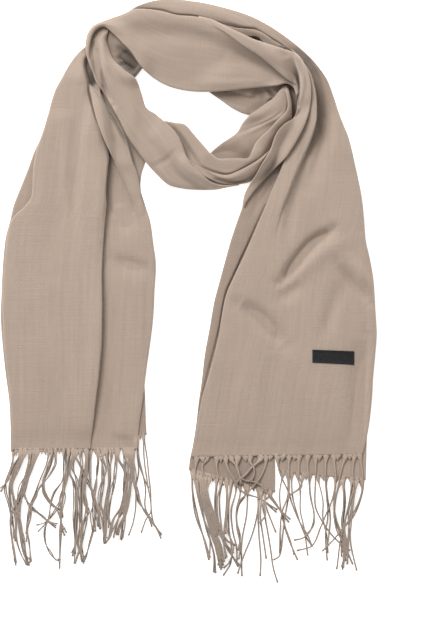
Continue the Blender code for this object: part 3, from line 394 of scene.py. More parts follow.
# Laps, where one fold's edge lies over the next in one stretch: the height of each, above zero
# where the left of its run is the higher side, how far either side takes to level out, its run
LAPS = {
    "right_tail_front": (
        # the sharp outer edge of the lip along its inner edge
        (-22, 20, 13,
         ((118, 277), (128, 268), (134, 259), (140.5, 248), (144.5, 235), (146.5, 222), (147, 205),
          (145.8, 193), (142.5, 181), (137, 166), (131, 153))),
        (-6, 9, 16,
         ((137, 166), (131, 153), (126, 142), (120, 128), (113.5, 111), (108, 97), (104, 82))),
        # the upper line of the narrow fold beside the shoulder fold
        (3, 1.5, 7,
         ((40, 304.8), (52, 303), (62, 300.5), (75, 299.2), (81, 296), (95, 287.3), (110, 277.5),
          (122, 270), (130, 262))),
    ),
    "loop_left_arm": (
        # its fold under the hook, and its outer strip
        (3, 6, 10, ((-89, 301), (-96, 296), (-104, 288), (-109.5, 276), (-111, 264))),
        (4, 4, 4, ((-112, 274), (-109, 264), (-104, 250), (-98, 236), (-90, 218))),
    ),
    "loop_right_arm": (
        (3.5, 6, 6, ((58, 183), (70, 187.5), (84, 193), (96, 199), (106, 206))),
    ),
}
LAP_EDGE = 1.6  # width of the step itself

# Fringe. A strand is its points in plan, x and y in turn, from its root in the hem to its end,
# in steps of STRAND_STEP millimetres right and down from its tail's corner
STRAND_STEP = 0.71875
LEFT_CORNER = (-216.8, -159.3)
RIGHT_CORNER = (1.7, -170.8)
LEFT_BACK_STRANDS = (
    (18.4, 39, 17.6, 60, 10.4, 80, 11, 98, 16, 118, 21, 140, 23, 170),
    (53, 38, 47, 64, 39, 88, 32, 112, 30, 140, 33, 168, 39, 192, 47, 216),
    (55, 38, 44, 70, 38, 96, 32, 120, 26, 144, 28, 176, 34, 196, 43, 215),
    (86, 38, 82, 56, 74, 74, 69, 88, 74, 104, 86, 120, 96, 128, 100, 140),
    (106, 38, 106, 60, 102, 84, 98, 106, 90, 124, 76, 146, 61, 162),
    (114, 38, 110, 66, 104, 90, 100, 112, 98, 136, 100, 160, 105, 168),
    (133, 38, 133, 64, 130, 90, 131, 120, 130, 144, 132, 166),
    (143, 40, 140, 76, 152, 120, 149, 156, 143, 180, 138, 204, 133, 210),
)
LEFT_EDGE_STRANDS = (
    (220, 38, 224, 58, 232, 80, 238, 92),
    (220, 40, 222, 66, 218, 90, 217, 124, 213, 148, 206, 168),
    (233, 12, 235, 40, 238, 70, 241, 96, 242, 124, 245, 144, 252, 160, 258, 173),
    (222, 38, 230, 76, 233, 96, 232, 120, 238, 138, 243, 154),
    (230, 14, 231, 48, 236, 84, 242, 128, 233, 144, 226, 164),
)
LEFT_INNER_STRANDS = (
    (158, 38, 157, 64, 152, 88, 149, 112, 149, 136, 151, 162),
    (144, 80, 150, 104, 156, 128, 160, 158),
    (164, 38, 163, 66, 163, 84, 160, 112, 160, 140, 161, 158),
    (168, 38, 163, 40, 170, 64, 164, 86, 160, 112, 166, 140, 166, 176, 169, 182),
    (173, 40, 177, 66, 176, 90, 170, 116, 168, 144, 168, 176),
    (179, 42, 176, 70, 174, 96, 170, 124, 171, 152, 169, 180),
    (185, 44, 183, 66, 181, 92, 176, 124, 174, 156),
    (188, 44, 198, 64, 200, 90, 194, 120, 180, 144, 174, 172, 170, 180),
    (200, 38, 202, 64, 200, 96, 196, 124, 188, 144, 182, 172),
    (205, 40, 206, 66, 204, 96, 200, 128, 197, 152, 195, 176),
    (210, 40, 212, 66, 208, 100, 202, 130, 192, 152, 186, 166),
    (215, 42, 215, 70, 218, 96, 222, 112, 232, 130, 246, 148, 258, 173),
)
LEFT_FRONT_STRANDS = (
    (32, 38, 22, 62, 14, 78, 1, 98),
    (35, 38, 23, 66, 17, 88, 18, 120, 18, 152, 20, 180, 26, 216),
    (39, 38, 26, 64, 20, 86, 22, 112, 26, 140, 25, 176),
    (42, 38, 28, 64, 20, 90, 27, 120, 33, 148, 38, 180),
    (48, 38, 43, 64, 35, 90, 28, 112, 20, 136, 19, 164, 24, 192, 27, 212),
    (57, 38, 50, 64, 42, 84, 41, 104, 52, 124, 66, 136, 78, 146, 90, 156),
    (60, 38, 51, 66, 40, 90, 35, 112, 33, 140, 37, 170, 43, 200, 48, 216),
    (78, 38, 74, 56, 64, 80, 58, 100, 50, 122, 45, 148, 43, 178),
    (83, 38, 79, 60, 70, 80, 69, 94, 80, 114, 90, 124, 96, 134, 98, 148, 104, 168),
    (89, 38, 88, 54, 78, 74, 66, 90, 58, 104, 52, 120, 50, 140, 45, 160, 48, 180, 49, 212),
    (102, 38, 103, 58, 100, 80, 88, 100, 82, 120, 78, 140, 73, 160, 74, 180, 80, 196, 93, 208, 98, 206),
    (110, 38, 109, 60, 106, 84, 102, 108, 99, 128, 99, 160, 97, 190, 96, 219),
    (117, 38, 112, 66, 120, 84, 121, 112, 121, 140, 120, 180, 118, 196),
    (122, 38, 118, 58, 122, 80, 124, 112, 124, 152, 122, 180, 119, 213),
    (128, 38, 130, 60, 126, 90, 128, 120, 128, 152, 126, 180, 132, 211),
    (138, 38, 136, 64, 133, 88, 136, 112, 141, 128, 136, 146, 130, 170, 134, 200, 136, 210),
    (141, 38, 140, 70, 136, 100, 138, 120, 134, 152, 130, 180, 120, 212),
)
RIGHT_BACK_STRANDS = (
    (12, 58, 17, 86, 26, 120, 37, 156, 45, 186, 48, 204),
    (15, 60, 20, 90, 30, 124, 40, 158, 48, 192),
    (20, 62, 24, 94, 33, 130, 43, 164, 50, 196),
    (26, 63, 27, 96, 36, 132, 47, 166, 53, 200),
    (1, 52, 4, 80, 12, 120, 22, 158, 30, 191),
    (6, 54, 14, 96, 26, 140, 38, 180, 41, 212),
    (18, 60, 18, 90, 30, 120, 40, 150, 47, 180, 51, 204),
    (22, 60, 30, 96, 42, 136, 60, 160, 72, 168),
    (30, 64, 28, 80, 36, 112, 48, 140, 60, 170, 77, 202),
    (43, 66, 41, 96, 42, 128, 44, 152),
    (50, 72, 47, 94, 49, 128, 57, 189),
    (58, 74, 58, 104, 55, 140, 54, 160),
    (66, 78, 62, 104, 62, 140, 66, 170, 65, 196, 53, 216),
    (73, 82, 66, 112, 68, 144, 74, 170, 75, 192),
    (80, 86, 74, 112, 75, 140, 81, 170, 83, 217),
    (88, 88, 78, 104, 74, 128, 80, 152, 77, 176),
    (92, 84, 90, 120, 84, 152, 81, 180),
    (109, 80, 108, 112, 100, 148, 86, 184, 76, 213),
    (112, 80, 109, 112, 110, 150, 113, 190, 112, 217),
    (115, 84, 112, 120, 116, 150, 121.6, 189),
    (114, 96, 120, 124, 128, 170, 133, 204, 140, 227),
    (128, 88, 118, 98, 120, 120, 111, 132),
    (120, 100, 128, 124, 137, 147),
    (128, 90, 138, 104, 148, 118, 152, 140, 160, 164, 172, 191),
)
RIGHT_SIDE_STRANDS = (
    (143, 52, 143, 84, 145, 112, 149, 130, 160, 160, 166, 183),
    (156, 58, 156, 88, 148, 112, 144, 140, 145, 170),
    (162, 58, 164, 90, 172, 120, 182, 148, 195, 170),
    (172, 58, 176, 80, 176, 112, 182, 140, 188, 184),
    (181, 58, 174, 76, 158, 88),
    (191, 52, 192, 84, 198, 120, 197, 136, 188, 148),
    (204, 60, 212, 96, 212, 124, 218, 152, 220, 180),
    (217, 62, 220, 94, 224, 124, 221, 156, 218, 180),
    (233, 62, 228, 90, 220, 116),
    (240, 62, 232, 94, 230, 124, 240, 152, 242, 186),
    (245, 64, 248, 96, 245, 130, 247, 160, 245, 204),
    (258, 66, 254, 100, 247, 136, 249, 170, 244, 204),
    (264, 66, 257, 112, 253, 144, 251, 198),
    (274, 66, 274, 86, 262, 120, 244, 144, 234, 206),
    (280, 64, 276, 80, 266, 112, 256, 128),
)
RIGHT_FRONT_STRANDS = (
    (11, 28, 8, 52, 12, 84, 20, 120, 30, 146, 32, 172, 30, 191),
    (26, 30, 20, 40, 21, 54, 26, 84, 36, 120, 46, 148, 60, 168, 70, 180),
    (43, 30, 43, 46, 47, 60, 54, 72),
    (58, 30, 62, 46, 69, 62, 80, 78, 90, 86, 112, 93, 138, 115),
    (66, 30, 76, 40, 80, 58, 88, 64, 100, 66, 112, 72, 120, 79, 128, 90, 144, 112, 158, 131),
    (77, 28, 75, 42, 80, 58, 84, 72),
    (112, 30, 100, 43, 88, 54, 76, 66, 74, 74),
    (121, 38, 114, 56, 104, 70, 90, 86, 80, 96, 74, 112, 76, 140, 80, 170, 78, 190),
    (96, 34, 102, 44, 102, 56, 96, 66),
    (140, 38, 144, 54, 156, 80, 164, 104, 174, 128, 188, 152, 195, 170),
    (158, 36, 158, 56, 158, 86, 152, 120, 148, 152, 143, 184, 133, 191),
    (174, 36, 174, 56, 178, 74, 160, 88, 148, 110, 144, 140, 143, 180),
    (188, 40, 190, 66, 192, 90, 198, 120, 192, 144, 180, 156, 166, 159),
    (201, 36, 200, 70, 200, 104, 208, 124, 224, 148, 242, 166, 256, 176),
    (217, 32, 216, 60, 218, 90, 220, 120, 216, 152, 219, 192),
    (230, 30, 233, 60, 230, 86, 218, 116, 208, 140, 195, 168, 170, 176),
    (248, 22, 242, 46, 236, 76, 230, 104, 233, 140, 246, 166, 260, 198),
    (262, 12, 260, 50, 262, 84, 258, 124, 256, 160, 266, 208),
    (280, 26, 276, 66, 270, 96, 256, 124, 238, 148, 222, 166, 211, 177),
)
# A fringe: its node, its corner, strands, a strand's radius, half the width of a strand's
# root in the hem, how many companions each strand has, whether its hem shows teeth, and how
# far a strand keeps the cloth's colour
Fringe = namedtuple("Fringe", "node corner strands radius flare companions teeth tint")
FRINGES = {
    "right_tail_back": ("fringe_right_back", RIGHT_CORNER, RIGHT_BACK_STRANDS, 1.0, 3.6,
                        (2,) * 4 + (1,) * 9 + (0,) * 11, True, 16.0),
    "right_tail_side": ("fringe_right_side", RIGHT_CORNER, RIGHT_SIDE_STRANDS, 0.85, 4.0,
                        (0,) * 9 + (2,) * 4 + (0,) * 2, True, 16.0),
    "right_tail_front": ("fringe_right_front", RIGHT_CORNER, RIGHT_FRONT_STRANDS, 0.95, 4.4,
                         (0,) * 3 + (1,) * 4 + (0,) * 12, True, 16.0),
    "left_tail_back": ("fringe_left_back", LEFT_CORNER, LEFT_BACK_STRANDS, 0.75, 2.6,
                       (1,) * 8, False, 2.0),
    "left_tail_edge": ("fringe_left_edge", LEFT_CORNER, LEFT_EDGE_STRANDS, 0.85, 2.4,
                       (0,) * 5, True, 2.0),
    "left_tail_inner": ("fringe_left_inner", LEFT_CORNER, LEFT_INNER_STRANDS, 0.75, 2.6,
                        (2,) * 8 + (4,) * 4, True, 2.0),
    "left_tail_front": ("fringe_left_front", LEFT_CORNER, LEFT_FRONT_STRANDS, 0.75, 2.6,
                        (2,) * 7 + (1,) * 4 + (2,) * 6, True, 2.0),
}
STRAY = 2.6  # how far a companion strays from its strand
STRAY_SHARES = (1, 0.3)  # the share of that sideways and lengthwise
END_STRAY = (-2, 9)  # and how much shorter it ends
ROOT_PULL = 0.7  # how far a strand's second point is drawn in under its root
ROOT_DROP = 5  # and the least that it lies below that
TOOTH_PITCH = 1.6  # between the hem's gathered points, over the flare
TOOTH_ROOM = 0.8  # the least room beside a strand that one takes, over the flare
TOOTH_LENGTH = 7.0
TOOTH_LENGTHS = (0.7, 1.1)  # the least and most of it
TOOTH_LEAN = 0.8
TOOTH_TAPER = -0.75  # how a tooth narrows at its tip
TIP_SWELL = 0.3  # and how a strand's knotted end swells
TIP_LENGTH = 5
POINT_STEP = 2.8  # along a strand
STRAND_SIDES = 7
STRAND_TURN = 0.3  # how far neighbours are turned round their own lines
STRAND_SHIFT = 37.0  # between two strands' places in the yarn's pattern
FLARE_LENGTH = 15.0
TINT_CHANGE = 22.0  # length over which a strand's colour changes from the cloth's
ROOT_INSET = 2.5  # how far a root starts inside the hem
ROOT_DEPTH = 0.32  # and below its top
ROOT_THICKNESS = 0.35  # half of it
FREE_LENGTH = 6  # of a strand by the hem that others don't lie on
FALL = 3.0  # how long a strand takes to come down to the floor, over its root's height
FALL_SPARE = 6
FALL_START = 3
HIGHEST_CROSSING = 3.4  # strands nestle into those they cross above this height
CROSSING_SLOPE = 0.4  # how fast that height comes down from the root's
SOFTENING = (0.1, 0.2, 0.4, 0.2, 0.1)  # of the heights along a strand

LABEL_CORNERS = ((142, -66.7), (190, -68.6), (190, -84), (142, -81.6))
LABEL_RISE = 0.8  # thickness of the tape
LABEL_GAP = 0.1
LABEL_COVER = (2, 2.0)  # of the cloth under it, as in CLOSE
LABEL_END = 0.02  # the share of its length in which an end thins
LABEL_END_LIFT = 0.35  # to this share of its thickness
LABEL_RIM = 0.9  # width of its raised selvedge
LABEL_LIFT = (0.3, 0.9, 1.0, 0.72, 0.7)  # its thickness from either selvedge inwards
LABEL_MIDDLE = 0.74
LABEL_STEPS = 30
STITCH_INSET = 1.6  # from the label's short ends
STITCHES = 5  # on each short end
STITCH_RINGS = 7
STITCH_LENGTH = 2.0
STITCH_RADIUS = 0.28
STITCH_DEPTH = 0.78  # where a stitch lies, over the tape's thickness


class Heights:
    """How high the cloth lies so far, on a grid over the floor."""

    def __init__(self):
        self.z = np.zeros(GRID_SIZE[::-1])

    def splat(self, points):
        """Raises the cells under a surface given as a grid of points."""
        for a in (0, 0.34, 0.67):
            for b in (0, 0.34, 0.67):
                x, y, z = (blend_cells(points[..., k], a, b) for k in range(3))
                col = np.clip(np.round(x - GRID_LEFT).astype(int), 0, GRID_SIZE[0] - 1)
                row = np.clip(np.round(y - GRID_FOOT).astype(int), 0, GRID_SIZE[1] - 1)
                np.maximum.at(self.z, (row, col), z)

    def over(self, reach, soft):
        """The grid widened by reach and softened, never below what is there."""
        return np.maximum(blur(spread(self.z, reach), soft), self.z)


def blend_cells(v, a, b):
    """A grid's values at the same place inside each of its cells."""
    near = v[:-1, :-1] * (1 - b) + v[:-1, 1:] * b
    far = v[1:, :-1] * (1 - b) + v[1:, 1:] * b
    return near * (1 - a) + far * a


def spread(z, reach):
    """The highest value within reach of each cell, in a rounded window."""
    out = z.copy()
    for dy in range(-reach, reach + 1):
        span = int(math.sqrt(reach * reach - dy * dy))
        for dx in range(-span, span + 1):
            out = np.maximum(out, np.roll(z, (dy, dx), (0, 1)))
    return out


def blur(z, soft):
    """Three box blurs each way, close to a Gaussian of that width."""
    size = max(1, int(round(soft * 2)) | 1)
    pad = ((size // 2 + 1, size // 2), (0, 0))
    for _ in range(6):
        sums = np.cumsum(np.pad(z, pad, mode="edge"), axis=0)
        z = ((sums[size:] - sums[:-size]) / size).T
    return z


def sample(grid, x, y):
    """The grid's value at places, between its cells."""
    cx = np.clip(x - GRID_LEFT, 0, GRID_SIZE[0] - 1.001)
    cy = np.clip(y - GRID_FOOT, 0, GRID_SIZE[1] - 1.001)
    i, j = cx.astype(int), cy.astype(int)
    a, b = cx - i, cy - j
    low = grid[j, i] * (1 - a) + grid[j, i + 1] * a
    high = grid[j + 1, i] * (1 - a) + grid[j + 1, i + 1] * a
    return low * (1 - b) + high * b


def smoothstep(t):
    """0 to 1 with level ends."""
    t = np.clip(t, 0, 1)
    return t * t * (3 - 2 * t)


def curve_through(values, steps, at):
    """A smooth curve through rows of values, read at other steps."""
    values = np.asarray(values, dtype=float)
    slopes = np.empty_like(values)
    slopes[1:-1] = (values[2:] - values[:-2]) / (steps[2:] - steps[:-2])[:, None]
    slopes[0] = (values[1] - values[0]) / (steps[1] - steps[0])
    slopes[-1] = (values[-1] - values[-2]) / (steps[-1] - steps[-2])
    k = np.clip(np.searchsorted(steps, at, side="right") - 1, 0, len(steps) - 2)
    h = (steps[k + 1] - steps[k])[:, None]
    t = (at - steps[k])[:, None] / h
    out = values[k] * (1 + 2 * t) * (1 - t) ** 2 + slopes[k] * h * t * (1 - t) ** 2
    return out + values[k + 1] * t * t * (3 - 2 * t) + slopes[k + 1] * h * t * t * (t - 1)


def along_line(points, step, fewest):
    """The places of a line's points along it, and even places a step apart or so."""
    places = np.concatenate(([0], np.cumsum(np.hypot(*np.diff(points, axis=0).T))))
    return places, np.linspace(0, places[-1], max(fewest, int(places[-1] / step)))


def smooth_sections(rows):
    """Sections at every ROW_STEP along a stretch, and their places along its middle line."""
    table = [list(row) for row in rows]
    for before, row in zip(table, table[1:]):
        row += before[len(row):]
    table = np.array(table, dtype=float)
    steps, at = along_line((table[:, :2] + table[:, 2:4]) / 2, ROW_STEP, 8)
    return curve_through(table, steps, at), at


def from_run(run, end, x, y):
    """Distance of places from a run, left of its direction above zero, and how full it is."""
    steps = np.arange(len(run), dtype=float)
    points = curve_through(run, steps, np.linspace(0, steps[-1], RUN_STEPS * len(run)))
    legs = np.diff(points, axis=0)
    lengths = np.hypot(legs[:, 0], legs[:, 1])
    best = np.full(x.shape, np.inf)
    share = np.zeros_like(x)
    side = np.zeros_like(x)
    gone = 0.0
    for start, leg, length in zip(points, legs, lengths):
        along = ((x - start[0]) * leg[0] + (y - start[1]) * leg[1]) / length**2
        along = np.clip(along, 0, 1)
        dx = x - start[0] - leg[0] * along
        dy = y - start[1] - leg[1] * along
        distance = np.hypot(dx, dy)
        near = distance < best
        best = np.where(near, distance, best)
        share = np.where(near, (gone + along * length) / lengths.sum(), share)
        side = np.where(near, leg[0] * dy - leg[1] * dx, side)
        gone += length
    return best * np.sign(side), np.sin(np.pi * np.clip(share, end, 1 - end)) ** CREASE_FADE


def crease_offset(node, x, y):
    """The summed height of a node's creases and laps at a grid of places."""
    total = np.zeros_like(x)
    for depth, left, right, run in CREASES.get(node, ()):
        distance, fade = from_run(run, CREASE_END, x, y)
        width = np.where(distance > 0, left, right)
        total += depth * fade * np.exp(-((distance / width) ** 2))
    for rise, high_reach, low_reach, run in LAPS.get(node, ()):
        distance, fade = from_run(run, LAP_END, x, y)
        distance = distance * np.sign(rise)
        high = np.exp(-((distance / high_reach) ** 2))
        low = np.exp(-((distance / low_reach) ** 2))
        step = smoothstep(distance / LAP_EDGE + 0.5)
        total += abs(rise) * fade * (0.5 * high * step - 0.5 * low * (1 - step))
    return total


def edge_profile(layers):
    """A folded edge seen end on, from underneath up: shares of the roll and of the height."""
    points = []
    half = 0.5 / layers
    lower = np.linspace(-math.pi / 2, 0, EDGE_STEPS, endpoint=False)[1:]
    upper = np.linspace(0, math.pi / 2, EDGE_STEPS)
    for k in range(layers):
        lower_reach = 0.5 if k == 0 else LAYER_SLIT
        upper_reach = 1.0 if k == layers - 1 else LAYER_SLIT
        for reach, angles in ((lower_reach, lower), (upper_reach, upper)):
            out = reach * (1 - np.cos(angles))
            points += zip(out, (2 * k + 1) * half + half * np.sin(angles))
    return np.array(points[:-1])


def linked(name, data):
    """A new object in the scene."""
    made = bpy.data.objects.new(name, data)
    bpy.context.scene.collection.objects.link(made)
    return made


def corners(grid, order):
    """The values at the four corners of each of a grid's cells, in that order."""
    four = (grid[:-1, :-1], grid[1:, :-1], grid[1:, 1:], grid[:-1, 1:])
    return np.stack([four[k] for k in order], axis=2)


def tubes(name, parts, material, turned=False, capped=True):
    """An object of tubes, each as rings of points, u round the rings and v along them."""
    order, way = ((0, 3, 2, 1), -1) if turned else ((0, 1, 2, 3), 1)
    verts, faces, uvs, caps = [], [], [], []
    count = 0
    for rings, u, v in parts:
        rows, size = rings.shape[:2]
        index = count + np.arange(rows * size).reshape(rows, size)
        caps += [index[0, ::way].tolist(), index[-1, ::-way].tolist()]
        index = np.concatenate([index, index[:, :1]], axis=1)
        faces += corners(index, order).reshape(-1, 4).tolist()
        uvs.append(corners(np.stack(np.broadcast_arrays(u, v[:, None]), -1), order).reshape(-1, 2))
        verts.append(rings.reshape(-1, 3))
        count += rows * size
    mesh = bpy.data.meshes.new(name)
    mesh.from_pydata((np.concatenate(verts) * MM).tolist(), [], faces + (caps if capped else []))
    flat = np.zeros((len(mesh.loops), 2))
    flat[:4 * len(faces)] = np.concatenate(uvs) * MM
    mesh.uv_layers.new(name="cloth").data.foreach_set("uv", flat.ravel())
    mesh.shade_smooth()
    for face in mesh.polygons[len(faces):]:
        face.use_smooth = False
    mesh.materials.append(material)
    return linked(name, mesh)


def closed(u):
    """The places round some rings, with that of the way back to the first."""
    return np.concatenate([u, u[:, -1:] + 1.0], axis=1)


def mark(made, name, values):
    """Gives an object's points a value each, for its material."""
    made.data.attributes.new(name, "FLOAT", "POINT").data.foreach_set("value", values)


def strand_heights(x, y, distance, ground, root, radius):
    """Middle heights of a strand that comes down from its root and lies on what it crosses."""
    below = np.maximum.reduce([sample(ground.z, x + dx, y) for dx in (-1, 0, 1)])
    highest = np.maximum(HIGHEST_CROSSING, root - distance * CROSSING_SLOPE)
    carried = np.minimum(below, highest)
    wide = np.maximum.reduce([carried, np.roll(carried, 1), np.roll(carried, -1)])
    wide[0], wide[-1] = carried[0], carried[-1]
    soft = np.convolve(np.pad(wide, len(SOFTENING) // 2, mode="edge"), SOFTENING, mode="valid")
    lying = np.maximum(soft, carried) + radius
    falling = root * (1 - smoothstep((distance - FALL_START) / (FALL * root + FALL_SPARE)))
    return np.where(distance < 1, root, np.maximum(lying, falling))


def strand_rings(points, ground, hem, row, turn):
    """A strand's rings of points, from its wide flat root in the hem to its round end."""
    steps, distance = along_line(points, POINT_STEP, 6)
    x, y = curve_through(points, steps, distance).T
    root = max(np.interp(x[0], hem[0], hem[1]) - ROOT_DEPTH, row.radius)
    z = strand_heights(x, y, distance - ROOT_INSET, ground, root, row.radius)
    heading = np.arctan2(np.gradient(y), np.gradient(x))[:, None]
    open_root = np.clip(1 - (distance - ROOT_INSET) / (FLARE_LENGTH - ROOT_INSET), 0, 1) ** 2
    open_root[distance < ROOT_INSET] = 1
    swell = TIP_SWELL if distance[-1] > TOOTH_LENGTH * 2 else TOOTH_TAPER
    tip = 1 + swell * smoothstep((distance - distance[-1] + TIP_LENGTH) / TIP_LENGTH)
    wide = (row.radius + (row.flare - row.radius) * open_root) * tip
    thick = (row.radius + (ROOT_THICKNESS - row.radius) * open_root) * tip
    angle = np.linspace(0, 2 * math.pi, STRAND_SIDES, endpoint=False)[None, :]
    angle = angle + turn * (1 - open_root[:, None])
    out = np.cos(angle) * wide[:, None]
    rings = np.stack([x[:, None] - np.sin(heading) * out, y[:, None] + np.cos(heading) * out,
                      np.maximum(z[:, None] + np.sin(angle) * thick[:, None], ON_FLOOR)], axis=-1)
    free = distance > ROOT_INSET + FREE_LENGTH
    if free.sum() > 2:
        ground.splat(rings[free][:, ::2])
    return rings, distance, 1 - smoothstep((distance - row.tint) / TINT_CHANGE)


def strand_paths(row, hem):
    """The points of a fringe's strands, of their companions and of the teeth along the hem."""
    rng = np.random.default_rng(len(row.strands))
    first, last = hem[0][0] + row.flare, hem[0][-1]
    paths = []
    for line, companions in zip(row.strands, row.companions):
        points = np.array(line, dtype=float).reshape(-1, 2) * (STRAND_STEP, -STRAND_STEP)
        points += row.corner
        points = np.concatenate((points[:1], points))
        for turn in range(1 + companions):
            line = points.copy()
            if turn:
                line += rng.uniform(-STRAY, STRAY, points.shape) * STRAY_SHARES
                line[-1, 1] += rng.uniform(*END_STRAY)
            line[0, 0] = np.clip(line[0, 0], first, last - row.flare)
            line[0, 1] = np.interp(line[0, 0], hem[0], hem[2]) + ROOT_INSET
            x = line[0, 0] * ROOT_PULL + line[1, 0] * (1 - ROOT_PULL)
            line[1] = (x, min(line[1, 1], line[0, 1] - ROOT_DROP))
            paths.append(line)
    if not row.teeth:
        return paths
    taken = np.array([points[0, 0] for points in paths])
    for x in np.arange(first, last - row.flare / 2, TOOTH_PITCH * row.flare):
        if np.abs(taken - x).min() < TOOTH_ROOM * row.flare:
            continue
        root = np.array((x, np.interp(x, hem[0], hem[2]) + ROOT_INSET))
        lean = rng.uniform(-TOOTH_LEAN, TOOTH_LEAN)
        reach = ROOT_INSET + TOOTH_LENGTH * rng.uniform(*TOOTH_LENGTHS)
        paths.append(np.array([root, root - (0, reach / 2), root - (lean, reach)]))
    return paths


def fringe(row, hem, ground, material):
    """One hem's strands in one piece."""
    around = np.arange(STRAND_SIDES + 1) * (2 * math.pi * row.radius / STRAND_SIDES)
    parts, roots = [], []
    for k, points in enumerate(strand_paths(row, hem)):
        rings, distance, tint = strand_rings(points, ground, hem, row, STRAND_TURN * (k % 3))
        parts.append((rings, around, distance + STRAND_SHIFT * k))
        roots.append(np.repeat(tint, STRAND_SIDES))
    made = tubes(row.node + "_strands", parts, material, turned=True)
    mark(made, "root", np.concatenate(roots))
    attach(made, "root")
    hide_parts(row.node)
    return made


def end_shares(stretch, v):
    """How much of its rise each row keeps where the stretch's ends sink away."""
    share = np.ones_like(v)
    for length, distance in ((stretch.start, v), (stretch.end, v[-1] - v)):
        if length:
            share *= smoothstep(distance / length)
    return share[:, None]


def lay(stretch, ground, ripple, material):
    """Makes one stretch of cloth on what is already laid."""
    sections, v = smooth_sections(stretch.sections)
    left, right = sections[:, None, 0:2], sections[:, None, 2:4]
    rise = np.maximum(sections[:, 4:], LEAST_RISE)
    width = np.hypot(*(right - left)[:, 0].T)[:, None]
    widest = np.minimum(ROLL_RISE * rise, WIDEST_ROLL * width)
    left_roll = np.minimum(stretch.left.roll, widest) / width
    right_roll = np.minimum(stretch.right.roll, widest) / width
    columns = int(width.max() / COLUMN_STEP)
    top_u = left_roll + (1 - left_roll - right_roll) * np.linspace(0, 1, columns)
    under_columns = max(4, int(width.max() / UNDER_STEP))
    tucked = 1 - 0.5 * (left_roll + right_roll)
    under_u = 0.5 * left_roll + tucked * np.linspace(0, 1, under_columns)
    soft = ground.over(stretch.bridge, stretch.bridge * DRAPE)
    close = ground.over(*CLOSE)
    share = end_shares(stretch, v)

    def plan(u):
        place = left + (right - left) * u[..., None]
        return place[..., 0], place[..., 1]

    def top_height(u):
        x, y = plan(u)
        left_fall = 1 - smoothstep(u * np.maximum(width / stretch.left.reach, 2))
        right_fall = 1 - smoothstep((1 - u) * np.maximum(width / stretch.right.reach, 2))
        swell = 1 - (1 - stretch.left.share) * left_fall - (1 - stretch.right.share) * right_fall
        z = sample(soft, x, y) + rise * swell + crease_offset(stretch.node, x, y)
        z = z + RIPPLE * sample(ripple, x, y) * np.minimum(rise / RIPPLE_RISE, 1)
        low = sample(close, x, y)
        z = np.maximum(z, low + GAP + np.minimum(THINNEST[0] * rise, THINNEST[1]))
        if stretch.node in FRINGES:
            z = low + HEM + (z - low - HEM) * smoothstep((v[-1] - v) / HEM_TAPER)[:, None]
        return low + (z - low) * share - SINK * (1 - share)

    def edge(u, base, up):
        return np.stack([*plan(u), base + (top_height(u) - base) * up], axis=-1)

    under = sample(close, *plan(under_u))
    under = np.where(under > ON_FLOOR, under + GAP, 0)
    under = np.minimum(under, top_height(under_u) - GAP)
    roll, up = edge_profile(stretch.layers).T
    left_edge = edge(left_roll * roll, under[:, :1], up)
    right_edge = edge(1 - right_roll * roll, under[:, -1:], up)[:, ::-1]
    top = np.stack([*plan(top_u), top_height(top_u)], axis=-1)
    below = np.stack([*plan(under_u), under], axis=-1)
    rings = np.concatenate([top, right_edge, below[:, ::-1], left_edge], axis=1)
    around = np.linalg.norm(np.diff(rings, axis=1), axis=2)
    arc = np.concatenate([np.zeros((len(v), 1)), np.cumsum(around, 1)], 1)
    arc -= arc[:, columns // 2:columns // 2 + 1]
    made = tubes(stretch.node + "_cloth", [(rings, closed(arc), v)], material)
    ground.splat(np.concatenate([left_edge[:, -UPPER:], top, right_edge[:, :UPPER]], 1))
    girth = around.sum(1) + np.linalg.norm(rings[:, -1] - rings[:, 0], axis=1)
    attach(made, "root")
    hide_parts(stretch.node)
    flat = (round(max(girth.mean() / 2, NARROWEST) * MM, 3), round(v[-1] * MM, 3))
    ends = top[-1][np.argsort(top[-1][:, 0])]
    return made, flat, (ends[:, 0], ends[:, 2], ends[:, 1]), top


def paint_hollow_shade(made, top, around, dark):
    """Paints shade into a piece's top where it lies deep below the cloth around it, as a value that
    darkens its colour.
    """
    depth = sample(around, top[..., 0], top[..., 1]) - top[..., 2]
    painted_hollow_shade = np.zeros((len(top), len(made.data.vertices) // len(top)))
    painted_hollow_shade[:, :top.shape[1]] = dark * smoothstep((depth - HOLLOW_DEPTH[0]) / HOLLOW_DEPTH[1])
    mark(made, "painted_hollow_shade", painted_hollow_shade.ravel())


def label_place(u, v):
    """A place on the label, u along it and v down it, both from 0 to 1."""
    a, b, c, d = (np.array(corner) for corner in LABEL_CORNERS)
    u, v = np.asarray(u)[..., None], np.asarray(v)[..., None]
    place = (a * (1 - u) + b * u) * (1 - v) + (d * (1 - u) + c * u) * v
    return place[..., 0], place[..., 1]


